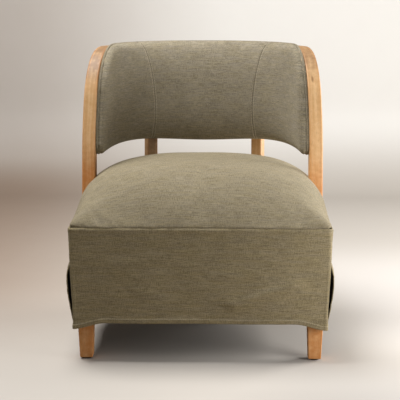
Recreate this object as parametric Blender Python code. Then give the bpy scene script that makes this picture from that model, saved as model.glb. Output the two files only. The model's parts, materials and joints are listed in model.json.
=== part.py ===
"""Barrel chair: oak hoop and legs, padded barrel back, crowned seat under a linen slipcover.

Metres, +Z up, front of the chair towards -Y. Depths are measured back from the front of the skirt,
and one empty carries all pieces, so that the origin is under the middle of the chair.
"""
import math

import bmesh
import bpy
import numpy as np
from mathutils import Matrix, Vector

# Clearances, and the step over which directions are read off curves
FIT = 0.0003
COVER_EASE = 0.0015
SKIRT_GAP = 0.005
CURVE_GAP = 0.0009
PROBE = 0.002

# Barrel plan at the inner face of the hoop, and how the barrel leans above the seat
BARREL_HALF_WIDTH = 0.2905
BARREL_START = 0.195
BARREL_DEPTH = 0.345
BARREL_SQUARENESS = 2.4
RAKE_FROM = 0.33
RAKE = 0.15
NARROW_FROM = 0.50
NARROWING = 0.6

# Hoop
POST_THICKNESS = 0.0365
POST_WIDTH = 0.034
POST_SETBACK = 0.2345
POST_CHAMFER = 0.004
HOOP_TOP = 0.789
HOOP_BEND = 0.115
HOOP_JOINT_REACH = 0.035
REAR_POST_HALF_SPACING = 0.153
REAR_POST_WIDTH = 0.033
REAR_POST_THICKNESS = 0.023
LAP_DEPTH = 0.012
LAP_STEP = 0.0001

# Seat frame
RAIL_BOTTOM = 0.215
RAIL_HEIGHT = 0.085
RAIL_THICKNESS = 0.030
RAIL_CHAMFER = 0.002

# Legs and glides
LEG_SIZE = 0.0425
LEG_FOOT = 0.033
LEG_TAPER_TOP = 0.130
LEG_CHAMFER = 0.002
FRONT_LEG_INSET = 0.0385
FRONT_LEG_SETBACK = 0.042
REAR_LEG_INSET = 0.0735
GLIDE_RADIUS = 0.012
GLIDE_THICKNESS = 0.004

# Fasteners
BOLT_RADIUS = 0.0035
BOLT_HEAD_RADIUS = 0.007
BOLT_HEAD_THICKNESS = 0.005
BOLT_RECESS = 0.001
POST_BOLT_INSET = 0.021
LEG_BOLT_HEIGHT = 0.255
LEG_BOLT_REACH = 0.022
SCREW_RADIUS = 0.002
SCREW_HEAD_RADIUS = 0.0045
SCREW_HEAD_THICKNESS = 0.003
SCREW_REACH = 0.018
SCREW_DROP = 0.017
DOWEL_RADIUS = 0.005
DOWEL_LENGTH = 0.040
BLOCK_LEG = 0.075

# Back pad
PAD_TOP = 0.796
PAD_BOTTOM_FRONT = 0.503
PAD_BOTTOM_REAR = 0.506
PAD_BOTTOM_LIFT = 0.011
PAD_REAR_THICKNESS = 0.066
PAD_WING_THICKNESS = 0.019
PAD_EDGE_THICKNESS = 0.010
PAD_EDGE_ROUND = 0.050
PAD_SETBACK = 0.004
PAD_TOP_CORNER = 0.125
PAD_BOTTOM_CORNER = 0.028
PAD_SEAM_HALF_SPACING = 0.145
BACK_CLOTH = 0.0028
PAD_COLUMNS = 24
PAD_ROWS = 7
OUTSIDE_CLOTH = 0.002
SHELL_THICKNESS = 0.006

# Seat
SEAM_HEIGHT = 0.352
SEAT_CROWN = 0.1385
SEAT_CENTRE = 0.235
SEAT_CLOTH = 0.003
CROWN_FLATNESS = 3.5
CROWN_SHOULDER = 2.15
CROWN_CORNERS = 2.7
CROWN_RINGS = 7
WEBBING_WIDTH = 0.050
WEBBING_THICKNESS = 0.0015
WEBBING_HALF_SPREAD = 0.150
WEBBING_END = 0.006
CROSS_STRAP_FRONT = 0.150
CROSS_STRAP_REAR = 0.350

# Skirt
SKIRT_CLOTH = 0.003
SKIRT_CORNER = 0.012
SKIRT_SIDE_REACH = 0.360
HEM_HEIGHT = 0.106
HEM_DIP = 0.015
HEM_DIP_REACH = 0.090
SLIT_TOP = 0.265
SLIT_TUCK = 0.009
SLIT_FLARE = 0.006
SLIT_FLARE_REACH = 0.075
FOLD_DEPTH = 0.0035
FRONT_FOLDS = 2.5
SIDE_FOLDS = 2
BACK_FOLDS = 4
DUST_COVER_THICKNESS = 0.001
DUST_COVER_DROP = 0.0003
DUST_COVER_EDGE = 0.008

# Facets
BEND_FACETS = 8
TOP_RAIL_FACETS = 26
SEAT_RAIL_FACETS = 28
RAKED_FACETS = 3
PIN_SIDES = 8
GLIDE_SIDES = 16
SKIRT_FRONT_COLUMNS = 20
SKIRT_SIDE_COLUMNS = 15
SKIRT_BACK_COLUMNS = 24
SKIRT_ROWS = 6

# Facets round half of the slipcover's plan
FRONT_STATIONS = 4
CORNER_STATIONS = 3
SIDE_STATIONS = 4
BACK_STATIONS = 8
OUTLINE_DETAIL = 6
CORNER_SHARE = 0.2

# Heights and distances that follow from the sizes above
RAIL_TOP = RAIL_BOTTOM + RAIL_HEIGHT
HOOP_LINE = HOOP_TOP - POST_WIDTH / 2
SKIRT_HALF_WIDTH = BARREL_HALF_WIDTH + POST_THICKNESS + SKIRT_GAP + SKIRT_CLOTH
FRONT_LEG_HALF_SPACING = SKIRT_HALF_WIDTH - FRONT_LEG_INSET
REAR_LEG_HALF_SPACING = BARREL_HALF_WIDTH - REAR_LEG_INSET
SCREW_HEIGHT = HOOP_LINE - HOOP_BEND - SCREW_DROP
CROSS_STRAP_LEVEL = RAIL_TOP + FIT + WEBBING_THICKNESS + FIT
FOAM_BOTTOM = CROSS_STRAP_LEVEL + WEBBING_THICKNESS + FIT
RAIL_OUTER = LAP_DEPTH - CURVE_GAP
RAIL_INNER = RAIL_OUTER - RAIL_THICKNESS
SHELL_OUTER = -CURVE_GAP - OUTSIDE_CLOTH - FIT
SHELL_INNER = SHELL_OUTER - SHELL_THICKNESS
FOAM_OUTER = SHELL_INNER - FIT
HALF_STATIONS = FRONT_STATIONS + CORNER_STATIONS + SIDE_STATIONS + BACK_STATIONS

for old in list(bpy.data.objects):
    bpy.data.objects.remove(old, do_unlink=True)

ROOT = bpy.data.objects.new("chair", None)
bpy.context.scene.collection.objects.link(ROOT)


def clamp(value, low=0.0, high=1.0):
    return max(low, min(high, value))


def smooth(value):
    value = clamp(value)
    return value * value * (3.0 - 2.0 * value)


# Materials
def finish(name, colour, roughness, metallic=0.0):
    material = bpy.data.materials.new(name)
    material.use_nodes = True
    shader = material.node_tree.nodes["Principled BSDF"]
    shader.inputs["Base Color"].default_value = (*colour, 1.0)
    shader.inputs["Roughness"].default_value = roughness
    shader.inputs["Metallic"].default_value = metallic
    return material


OAK = ("oak", (0.52, 0.31, 0.15), 0.5)
FRAME_WOOD = ("frame_beech", (0.60, 0.45, 0.28), 0.65)
PLYWOOD = ("plywood", (0.58, 0.44, 0.28), 0.7)
LINEN = ("olive_linen", (0.23, 0.20, 0.13), 0.9)
FOAM = ("foam", (0.80, 0.76, 0.60), 0.95)
WEBBING = ("webbing", (0.30, 0.26, 0.20), 0.85)
CAMBRIC = ("black_cambric", (0.02, 0.02, 0.02), 0.9)
STEEL = ("zinc_steel", (0.60, 0.60, 0.58), 0.35, 1.0)
NYLON = ("glide_nylon", (0.05, 0.045, 0.04), 0.5)


# Objects from bmesh shapes
def piece(name, shape, look, guide=False):
    """A named object under the root, with its own material; a guide only cuts other pieces."""
    bmesh.ops.recalc_face_normals(shape, faces=shape.faces[:])
    if shape.calc_volume(signed=True) < 0.0:
        bmesh.ops.reverse_faces(shape, faces=shape.faces[:])
    mesh = bpy.data.meshes.new(name)
    shape.to_mesh(mesh)
    shape.free()
    obj = bpy.data.objects.new(name, mesh)
    bpy.context.scene.collection.objects.link(obj)
    obj.parent = ROOT
    if guide:
        obj.hide_render = True
        obj.display_type = "WIRE"
        return obj
    mesh.materials.append(finish(name + "_" + look[0], *look[1:]))
    mesh.shade_smooth()
    mesh.set_sharp_from_angle(angle=math.radians(35))
    return obj


def cut(target, cutters):
    """Cuts guides out of a piece."""
    for cutter in cutters:
        boolean = target.modifiers.new(cutter.name, "BOOLEAN")
        boolean.operation = "DIFFERENCE"
        boolean.solver = "EXACT"
        boolean.object = cutter


def bar(length, width, depth, chamfer, cuts, place):
    """A straight chamfered stick, cut across at the given lengths and bent by place(l, w, t)."""
    shape = bmesh.new()
    bmesh.ops.create_cube(shape, size=1.0)
    bmesh.ops.translate(shape, verts=shape.verts, vec=(0.5, 0.0, 0.5))
    bmesh.ops.scale(shape, verts=shape.verts, vec=(length, width, depth))
    along = [e for e in shape.edges if abs(e.verts[0].co.x - e.verts[1].co.x) > length / 2]
    bmesh.ops.bevel(shape, geom=along, offset=chamfer, segments=1, profile=0.5,
                    affect="EDGES", material=-1)
    for at in cuts:
        everything = shape.verts[:] + shape.edges[:] + shape.faces[:]
        bmesh.ops.bisect_plane(shape, geom=everything, dist=1e-6,
                               plane_co=(at, 0, 0), plane_no=(1, 0, 0))
    for vert in shape.verts:
        vert.co = place(*vert.co)
    return shape


def skin(columns, rows, place):
    """A closed skin from a grid: place(u, v, layer) with layer 0 for one face and 1 for the other."""
    shape = bmesh.new()
    bmesh.ops.create_grid(shape, x_segments=columns, y_segments=rows, size=0.5)
    return thicken(shape, lambda co, layer: place(co.x + 0.5, co.y + 0.5, layer))


def disc_skin(spokes, rings, place):
    """A closed skin from a disc of rings: place(turn, radius, layer), both from 0 to 1."""
    shape = bmesh.new()
    line = [shape.verts.new((ring / rings, 0, 0)) for ring in range(rings + 1)]
    edges = [shape.edges.new(pair) for pair in zip(line, line[1:])]
    bmesh.ops.spin(shape, geom=line + edges, axis=(0, 0, 1), cent=(0, 0, 0),
                   angle=math.tau, steps=spokes, use_merge=True)
    bmesh.ops.remove_doubles(shape, verts=shape.verts, dist=1e-5)

    def polar(co, layer):
        turn = round(math.atan2(co.y, co.x) / math.tau * spokes) % spokes
        return place(turn / spokes, clamp(math.hypot(co.x, co.y)), layer)

    return thicken(shape, polar)


def thicken(shape, place):
    """Doubles a flat net into a closed skin; like nets split alike, so that parallel skins nest."""
    bmesh.ops.triangulate(shape, faces=shape.faces[:], quad_method="FIXED")
    flat = {vert: vert.co.copy() for vert in shape.verts}
    made = bmesh.ops.extrude_face_region(shape, geom=shape.faces[:], use_keep_orig=True)
    raised = [item for item in made["geom"] if isinstance(item, bmesh.types.BMVert)]
    spots = [(vert, vert.co.copy(), 1) for vert in raised]
    spots += [(vert, co, 0) for vert, co in flat.items()]
    for vert, co, layer in spots:
        vert.co = place(co, layer)
    return shape


def rod(radius, length, sides=PIN_SIDES, head_radius=0.0, head=0.0):
    """A pin along +Z from the origin, with an optional head that ends at z = 0 and lies below it."""
    shape = bmesh.new()
    bmesh.ops.create_circle(shape, cap_ends=True, segments=sides, radius=head_radius or radius)
    bmesh.ops.translate(shape, verts=shape.verts, vec=(0, 0, -head))
    steps = [(1.0, head), (radius / head_radius, 0.0), (1.0, length)] if head else [(1.0, length)]
    top = shape.faces[:]
    for number, (growth, rise) in enumerate(steps):
        made = bmesh.ops.extrude_face_region(shape, geom=top, use_keep_orig=True)
        if number:
            bmesh.ops.delete(shape, geom=top, context="FACES_ONLY")
        top = [item for item in made["geom"] if isinstance(item, bmesh.types.BMFace)]
        ring = [item for item in made["geom"] if isinstance(item, bmesh.types.BMVert)]
        bmesh.ops.scale(shape, verts=ring, vec=(growth, growth, 1.0))
        bmesh.ops.translate(shape, verts=ring, vec=(0, 0, rise))
    return shape


# Barrel geometry
ANGLES = 0.5 * math.pi * (1.0 - np.cos(np.linspace(0.0, math.pi, 721)))


def barrel_plan(angle):
    """Point and outward direction of the hoop's inner face in plan; pi/2 is the middle of the back."""
    power = 2.0 / BARREL_SQUARENESS
    c, s = math.cos(angle), max(0.0, math.sin(angle))
    side = math.copysign(1.0, c)
    point = Vector((side * BARREL_HALF_WIDTH * abs(c) ** power, BARREL_START + BARREL_DEPTH * s ** power))
    out = Vector((side * abs(c) ** (2.0 - power) / BARREL_HALF_WIDTH, s ** (2.0 - power) / BARREL_DEPTH))
    return point, out.normalized()


PLAN_POINTS = np.array([barrel_plan(a)[0] for a in ANGLES])
PLAN_STEPS = np.hypot(*np.diff(PLAN_POINTS, axis=0).T)
PLAN_RUN = np.concatenate([[0.0], np.cumsum(PLAN_STEPS)])
PLAN_MIDDLE = PLAN_RUN[-1] / 2
HALF_RUN = slice(0, len(ANGLES) // 2 + 1)


def along_barrel(run):
    """Plan point and outward direction at a run from the middle of the back, positive to +X."""
    return barrel_plan(float(np.interp(PLAN_MIDDLE - run, PLAN_RUN, ANGLES)))


def on_barrel(run, height, out):
    """A point of the barrel: run along its plan, height, and distance outside the hoop's inner face."""
    point, normal = along_barrel(run)
    spot = point + normal * out
    narrow = 1.0 - NARROWING * max(0.0, height - NARROW_FROM) ** 2
    return Vector((spot.x * narrow, spot.y + RAKE * max(0.0, height - RAKE_FROM), height))


def run_at_depth(depth):
    return PLAN_MIDDLE - float(np.interp(depth, PLAN_POINTS[HALF_RUN, 1], PLAN_RUN[HALF_RUN]))


def run_at_width(half_width):
    return PLAN_MIDDLE - float(np.interp(-half_width, -PLAN_POINTS[HALF_RUN, 0], PLAN_RUN[HALF_RUN]))


def barrel_frame(run, height, out):
    """Axes at a point of the barrel: X along the plan, Y up the rake, Z straight out."""
    normal = along_barrel(run)[1]
    outward = Vector((normal.x, normal.y, 0.0))
    up = (on_barrel(run, height + PROBE, out) - on_barrel(run, height - PROBE, out)).normalized()
    across = up.cross(outward).normalized()
    up = outward.cross(across)
    turn = Matrix((across, up, outward)).transposed().to_4x4()
    return Matrix.Translation(on_barrel(run, height, out)) @ turn


POST_RUN = run_at_depth(POST_SETBACK)
REAR_POST_RUN = run_at_width(REAR_POST_HALF_SPACING)
REAR_LEG_RUN = run_at_width(REAR_LEG_HALF_SPACING)
BEND_LENGTH = HOOP_BEND * math.pi / 2
HOOP_RISE = HOOP_LINE - HOOP_BEND - RAIL_BOTTOM
HOOP_JOINT_RUN = POST_RUN - HOOP_BEND - HOOP_JOINT_REACH


# Hoop
def post_outer(thickness, t, height):
    """Thickness coordinate of a post, which is halved over the seat rail."""
    if height > RAIL_TOP + FIT + LAP_STEP / 2:
        return t
    return LAP_DEPTH + t * (thickness - LAP_DEPTH) / thickness


def side_post_point(side, length, w, t):
    """Up the post, round the bend and back along the rail."""
    if length < HOOP_RISE:
        run, height = POST_RUN + w, RAIL_BOTTOM + length
    elif length < HOOP_RISE + BEND_LENGTH:
        turn = (length - HOOP_RISE) / HOOP_BEND
        reach = HOOP_BEND + w
        run = POST_RUN - HOOP_BEND + reach * math.cos(turn)
        height = HOOP_LINE - HOOP_BEND + reach * math.sin(turn)
    else:
        run = POST_RUN - HOOP_BEND - (length - HOOP_RISE - BEND_LENGTH)
        height = HOOP_LINE + w
    return on_barrel(side * run, height, post_outer(POST_THICKNESS, t, height))


def side_post(side, name):
    lap = RAIL_TOP + FIT - RAIL_BOTTOM
    length = HOOP_RISE + BEND_LENGTH + HOOP_JOINT_REACH - FIT / 2
    cuts = [lap, lap + LAP_STEP, RAKE_FROM - RAIL_BOTTOM]
    leaning = HOOP_RISE - NARROW_FROM + RAIL_BOTTOM
    cuts += [NARROW_FROM - RAIL_BOTTOM + leaning * k / RAKED_FACETS for k in range(RAKED_FACETS)]
    cuts += [HOOP_RISE + BEND_LENGTH * k / BEND_FACETS for k in range(BEND_FACETS + 1)]
    shape = bar(length, POST_WIDTH, POST_THICKNESS, POST_CHAMFER, cuts,
                lambda l, w, t: side_post_point(side, l, w, t))
    return piece(name, shape, OAK)


def top_rail():
    length = 2 * HOOP_JOINT_RUN - FIT
    cuts = [length * k / TOP_RAIL_FACETS for k in range(1, TOP_RAIL_FACETS)]
    shape = bar(length, POST_WIDTH, POST_THICKNESS, POST_CHAMFER, cuts,
                lambda l, w, t: on_barrel(l - length / 2, HOOP_LINE + w, t))
    return piece("top_rail", shape, OAK)


def rear_post(side, name):
    top = HOOP_TOP - POST_WIDTH - FIT
    lap = RAIL_TOP + FIT - RAIL_BOTTOM
    cuts = [lap, lap + LAP_STEP, RAKE_FROM - RAIL_BOTTOM, NARROW_FROM - RAIL_BOTTOM]
    leaning = top - NARROW_FROM
    cuts += [NARROW_FROM - RAIL_BOTTOM + leaning * k / RAKED_FACETS for k in range(1, RAKED_FACETS)]

    def place(length, w, t):
        height = RAIL_BOTTOM + length
        return on_barrel(side * REAR_POST_RUN + w, height, post_outer(REAR_POST_THICKNESS, t, height))

    shape = bar(top - RAIL_BOTTOM, REAR_POST_WIDTH, REAR_POST_THICKNESS, POST_CHAMFER, cuts, place)
    return piece(name, shape, OAK)


# Seat frame
def seat_rail_length():
    return 2 * (PLAN_MIDDLE + BARREL_START - leg_back() - FIT)


def leg_back():
    return FRONT_LEG_SETBACK + LEG_SIZE / 2


def curved_seat_rail():
    """One bent rail from the back of one front leg round to the other."""
    length = seat_rail_length()

    def place(l, w, t):
        run = l - length / 2
        beyond = max(0.0, abs(run) - PLAN_MIDDLE)
        point, normal = along_barrel(math.copysign(min(abs(run), PLAN_MIDDLE), run))
        spot = point + normal * (RAIL_INNER + t)
        return Vector((spot.x, spot.y - beyond, RAIL_BOTTOM + RAIL_HEIGHT / 2 + w))

    cuts = [length * k / SEAT_RAIL_FACETS for k in range(1, SEAT_RAIL_FACETS)]
    shape = bar(length, RAIL_HEIGHT, RAIL_THICKNESS, RAIL_CHAMFER, cuts, place)
    return piece("curved_seat_rail", shape, FRAME_WOOD)


def front_rail():
    half = FRONT_LEG_HALF_SPACING - LEG_SIZE / 2 - FIT
    middle = RAIL_BOTTOM + RAIL_HEIGHT / 2
    front = FRONT_LEG_SETBACK - LEG_SIZE / 2
    shape = bar(2 * half, RAIL_HEIGHT, RAIL_THICKNESS, RAIL_CHAMFER, [],
                lambda l, w, t: Vector((l - half, front + t, middle + w)))
    return piece("front_rail", shape, FRAME_WOOD)


def leg(name, frame):
    bottom = GLIDE_THICKNESS + FIT
    shape = bar(RAIL_TOP - bottom, LEG_SIZE, LEG_SIZE, LEG_CHAMFER, [LEG_TAPER_TOP - bottom],
                lambda l, w, t: Vector((w, t - LEG_SIZE / 2, bottom + l)))
    for vert in shape.verts:
        if vert.co.z < LEG_TAPER_TOP / 2:
            vert.co.x *= LEG_FOOT / LEG_SIZE
            vert.co.y *= LEG_FOOT / LEG_SIZE
    obj = piece(name, shape, OAK)
    obj.matrix_local = frame
    return obj


def glide(name, frame):
    obj = piece(name, rod(GLIDE_RADIUS, GLIDE_THICKNESS, GLIDE_SIDES), NYLON)
    obj.matrix_local = frame
    return obj


def rear_leg_frame(side):
    """Stands inside the curved rail, its flat outer face clear of the rail's curve."""
    point, normal = along_barrel(side * REAR_LEG_RUN)
    facet = seat_rail_length() / SEAT_RAIL_FACETS
    bend = (LEG_SIZE ** 2 + facet ** 2) / (8 * BARREL_DEPTH / 2)
    spot = point + normal * (RAIL_INNER - FIT - bend - LEG_SIZE / 2)
    turn = Matrix.Rotation(math.atan2(normal.y, normal.x) - math.pi / 2, 4, "Z")
    return Matrix.Translation((spot.x, spot.y, 0.0)) @ turn


def corner_block(side, name):
    """Braces the front corner behind the leg, between the front rail and the seat rail."""
    rail_back = FRONT_LEG_SETBACK - LEG_SIZE / 2 + RAIL_THICKNESS + FIT
    rail_side = BARREL_HALF_WIDTH + RAIL_INNER - FIT
    leg_side = FRONT_LEG_HALF_SPACING - LEG_SIZE / 2 - FIT
    corner = [(rail_side - BLOCK_LEG, rail_back), (leg_side, rail_back), (leg_side, leg_back() + FIT),
              (rail_side, leg_back() + FIT), (rail_side, rail_back + BLOCK_LEG)]
    if leg_side > rail_side:
        corner[2] = (leg_side, leg_back() - FIT)
        corner[3] = (rail_side, leg_back() - FIT)
    shape = bmesh.new()
    ring = [shape.verts.new((side * x, y, RAIL_BOTTOM)) for x, y in corner]
    base = shape.faces.new(ring)
    made = bmesh.ops.extrude_face_region(shape, geom=[base], use_keep_orig=True)
    for item in made["geom"]:
        if isinstance(item, bmesh.types.BMVert):
            item.co.z += RAIL_HEIGHT
    return piece(name, shape, FRAME_WOOD)


# Fasteners
def fastener(name, frame, radius, reach, head_radius, head):
    obj = piece(name, rod(radius, reach, PIN_SIDES, head_radius, head), STEEL)
    obj.matrix_local = frame
    return obj


def bore(name, frame, radius, start, end):
    """A round cutter along the frame's Z from start to end."""
    shape = rod(radius + FIT, end - start)
    bmesh.ops.translate(shape, verts=shape.verts, vec=(0, 0, start))
    obj = piece(name, shape, None, guide=True)
    obj.matrix_local = frame
    return obj


def inward(frame):
    """The same place with Z turned inward."""
    return frame @ Matrix.Rotation(math.pi, 4, "X")


def post_bolts(post, rail, run, thickness, label):
    """Two bolts from the outside of a post into the seat rail, with sunk heads."""
    head_seat = BOLT_RECESS + BOLT_HEAD_THICKNESS
    reach = thickness - head_seat - RAIL_INNER - BOLT_RECESS
    levels = {"lower": RAIL_BOTTOM + POST_BOLT_INSET, "upper": RAIL_TOP - POST_BOLT_INSET}
    for level, height in levels.items():
        frame = inward(barrel_frame(run, height, thickness - head_seat))
        name = label + "_bolt_" + level
        fastener(name, frame, BOLT_RADIUS, reach, BOLT_HEAD_RADIUS, BOLT_HEAD_THICKNESS)
        shank = bore(name + "_hole", frame, BOLT_RADIUS, -head_seat, reach + 2 * BOLT_HEAD_THICKNESS)
        sink = bore(name + "_sink", frame, BOLT_HEAD_RADIUS, -2 * head_seat, FIT)
        cut(post, [shank, sink])
        cut(rail, [shank])


def dowel(name, frame, first, second):
    """A wooden pin centred on a joint, in a blind hole in each piece."""
    obj = piece(name, rod(DOWEL_RADIUS, DOWEL_LENGTH), FRAME_WOOD)
    start = frame @ Matrix.Translation((0, 0, -DOWEL_LENGTH / 2))
    obj.matrix_local = start
    hole = bore(name + "_hole", start, DOWEL_RADIUS, -FIT, DOWEL_LENGTH + FIT)
    cut(first, [hole])
    cut(second, [hole])


# Back pad
PAD_FRONT_RUN = POST_RUN + POST_WIDTH / 2 - PAD_SETBACK
PAD_SEAM_RUN = run_at_width(PAD_SEAM_HALF_SPACING)


def pad_span(run, inset):
    """Lowest and highest point of the pad's outline at a run, drawn in by the inset."""
    edge = clamp(PAD_FRONT_RUN - inset - abs(run), 0.0, PAD_FRONT_RUN)
    rise = PAD_BOTTOM_FRONT - PAD_BOTTOM_REAR
    part_way = abs(run) / PAD_FRONT_RUN
    scallop = PAD_BOTTOM_LIFT * math.sin(math.pi * part_way) ** 2
    low = PAD_BOTTOM_REAR + rise * smooth(part_way) + scallop + inset
    high = PAD_TOP - inset
    for radius, sign in ((PAD_BOTTOM_CORNER - inset, 1), (PAD_TOP_CORNER - inset, -1)):
        if edge < radius:
            drop = radius - math.sqrt(radius ** 2 - (radius - edge) ** 2)
            low += drop if sign > 0 else 0.0
            high -= drop if sign < 0 else 0.0
    return low, high


def pad_depth(run, height, inset):
    """Thickness of the upholstery over the shell: thick behind the lower back, thin at the wings."""
    low, high = pad_span(run, inset)
    wing = smooth((abs(run) - PAD_SEAM_RUN * 0.6) / (PAD_FRONT_RUN - PAD_SEAM_RUN * 0.6))
    full = PAD_REAR_THICKNESS + (PAD_WING_THICKNESS - PAD_REAR_THICKNESS) * wing
    margin = min(high - height, height - low, PAD_FRONT_RUN - inset - abs(run))
    near = clamp(1.0 - margin / PAD_EDGE_ROUND)
    return PAD_EDGE_THICKNESS + (full - PAD_EDGE_THICKNESS) * math.sqrt(1.0 - near * near)


def pad_spot(u, v, inset):
    """Run and height on the pad's outline for grid coordinates, closer together at the wings."""
    a = 2.0 * u - 1.0
    run = (PAD_FRONT_RUN - inset) * math.sin(a * math.pi / 2)
    low, high = pad_span(run, inset)
    return run, low + (high - low) * 0.5 * (1.0 - math.cos(math.pi * v))


def back_layer(name, outer, inner, inset, look):
    """A bent sheet of even thickness behind the pad."""
    def place(u, v, layer):
        run, height = pad_spot(u, v, inset)
        return on_barrel(run, height, inner if layer else outer)
    return piece(name, skin(PAD_COLUMNS, PAD_ROWS, place), look)


def back_foam():
    inset = BACK_CLOTH + FIT

    def place(u, v, layer):
        run, height = pad_spot(u, v, inset)
        depth = pad_depth(run, height, inset)
        return on_barrel(run, height, FOAM_OUTER - (depth if layer else 0.0))

    return piece("back_foam", skin(PAD_COLUMNS, PAD_ROWS, place), FOAM)


def back_front_cover():
    """Cloth over the foam: its border is turned back round the edge of the shell."""
    columns, rows = PAD_COLUMNS + 2, PAD_ROWS + 2

    def turned(fraction, count):
        return clamp((fraction * count - 1.0) / (count - 2.0))

    def place(u, v, layer):
        inset = 0.0 if layer else BACK_CLOTH
        run, height = pad_spot(turned(u, columns), turned(v, rows), inset)
        border = min(u, v, 1.0 - u, 1.0 - v) < 0.5 / max(columns, rows)
        depth = FIT + pad_depth(run, height, inset) + (BACK_CLOTH if layer else 0.0)
        return on_barrel(run, height, SHELL_OUTER if border else FOAM_OUTER - depth)

    return piece("back_front_cover", skin(columns, rows, place), LINEN)


def shell_screw(name, run, post, shell, cover):
    """A screw from inside the shell into a post, its head sunk in the plywood."""
    head_seat = SHELL_INNER + SCREW_HEAD_THICKNESS + FIT
    frame = barrel_frame(run, SCREW_HEIGHT, head_seat)
    reach = SCREW_REACH - head_seat
    fastener(name, frame, SCREW_RADIUS, reach, SCREW_HEAD_RADIUS, SCREW_HEAD_THICKNESS)
    hole = bore(name + "_hole", frame, SCREW_RADIUS, -SHELL_THICKNESS, reach + FIT)
    sink = bore(name + "_sink", frame, SCREW_HEAD_RADIUS, -2 * SHELL_THICKNESS, FIT)
    cut(post, [hole])
    cut(cover, [hole])
    cut(shell, [hole, sink])


# Plan of the slipcover
def cover_point(station, inset):
    """Point of the right half of the slipcover's plan, drawn in by the inset.

    Stations run along the front, round the corner, along the side and round the back.
    """
    half = SKIRT_HALF_WIDTH - inset
    corner = max(SKIRT_CORNER - inset, FIT)
    if station <= FRONT_STATIONS:
        return Vector(((half - corner) * station / FRONT_STATIONS, inset))
    station -= FRONT_STATIONS
    if station <= CORNER_STATIONS:
        turn = 0.5 * math.pi * station / CORNER_STATIONS
        return Vector((half - corner + corner * math.sin(turn), inset + corner - corner * math.cos(turn)))
    station -= CORNER_STATIONS
    if station <= SIDE_STATIONS:
        return Vector((half, inset + corner + (BARREL_START - inset - corner) * station / SIDE_STATIONS))
    station -= SIDE_STATIONS
    point, normal = along_barrel(PLAN_MIDDLE * (1.0 - station / BACK_STATIONS))
    return point + normal * (half - BARREL_HALF_WIDTH)


def cover_outline(inset):
    """Dense points of the right half, from the middle of the front to the middle of the back."""
    steps = OUTLINE_DETAIL * HALF_STATIONS
    return np.array([cover_point(step / OUTLINE_DETAIL, inset) for step in range(steps + 1)])


def outline_run(points):
    return np.concatenate([[0.0], np.cumsum(np.hypot(*np.diff(points, axis=0).T))])


def along_outline(inset, fraction_of_run):
    """Point of the right half outline at a run from the middle of the front, and its way out."""
    points = cover_outline(inset)
    runs = outline_run(points)
    at = clamp(fraction_of_run, 0.0, runs[-1])
    x, y = (float(np.interp(at, runs, points[:, k])) for k in (0, 1))
    ahead, behind = min(at + PROBE, runs[-1]), max(at - PROBE, 0.0)
    dx, dy = (float(np.diff(np.interp((behind, ahead), runs, points[:, k]))[0]) for k in (0, 1))
    return Vector((x, y)), Vector((dy, -dx)).normalized()


# Seat
def crown_point(turn, radius, inset, base):
    """A point of the crowned seat: radius 0 at the crown and 1 at the seam, turn 0 at the front."""
    side = 1.0 if turn <= 0.5 else -1.0
    edge = cover_point(2 * HALF_STATIONS * min(turn, 1.0 - turn), inset) - Vector((0.0, SEAT_CENTRE))
    deep = SEAT_CENTRE - inset if edge.y < 0 else cover_point(HALF_STATIONS, inset).y - SEAT_CENTRE
    spread = abs(edge.x / (SKIRT_HALF_WIDTH - inset)) ** CROWN_CORNERS + abs(edge.y / deep) ** CROWN_CORNERS
    blend = radius ** 4
    reach = radius * (blend + (1.0 - blend) * spread ** (-1.0 / CROWN_CORNERS))
    rise = (SEAT_CROWN - inset) * (1.0 - radius ** CROWN_FLATNESS) ** (1.0 / CROWN_SHOULDER)
    return Vector((side * reach * edge.x, SEAT_CENTRE + reach * edge.y, base + rise))


def ring_radius(radius):
    """Rings closer together towards the seam, where the crown falls steeply."""
    return math.sin(radius * math.pi / 2) ** 0.9


def seat_cover():
    shape = disc_skin(2 * HALF_STATIONS, CROWN_RINGS, lambda turn, radius, layer: crown_point(
        turn, ring_radius(radius), 0.0 if layer else SEAT_CLOTH, SEAM_HEIGHT))
    return piece("seat_cover", shape, LINEN)


def seat_foam():
    """Crowned block of foam on the webbing, inside the cover and the top of the skirt."""
    inset = SEAT_CLOTH + CURVE_GAP

    def place(turn, radius, layer):
        spot = crown_point(turn, ring_radius(radius), inset, SEAM_HEIGHT)
        if not layer:
            spot.z = FOAM_BOTTOM
        return spot

    return piece("seat_foam", disc_skin(2 * HALF_STATIONS, CROWN_RINGS, place), FOAM)


def post_opening(name, run, width, side):
    """Room for a post through the seat, open to the outside."""
    grown = width + 2 * COVER_EASE
    bottom = RAIL_TOP - RAIL_HEIGHT / 2
    length = SEAM_HEIGHT + SEAT_CROWN - bottom
    depth = POST_THICKNESS + 2 * SKIRT_CLOTH + 2 * SKIRT_GAP

    def place(l, w, t):
        return on_barrel(side * run + w, bottom + l, t - COVER_EASE)

    shape = bar(length, grown, depth, FIT, [RAKE_FROM - bottom], place)
    return piece(name, shape, None, guide=True)


def strap(name, centre, size, level):
    shape = bar(size[0], size[1], WEBBING_THICKNESS, WEBBING_THICKNESS / 5, [],
                lambda l, w, t: Vector((l - size[0] / 2, w, t)))
    obj = piece(name, shape, WEBBING)
    turn = Matrix.Identity(4) if size[2] == "across" else Matrix.Rotation(math.pi / 2, 4, "Z")
    obj.matrix_local = Matrix.Translation((*centre, level)) @ turn
    return obj


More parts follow.
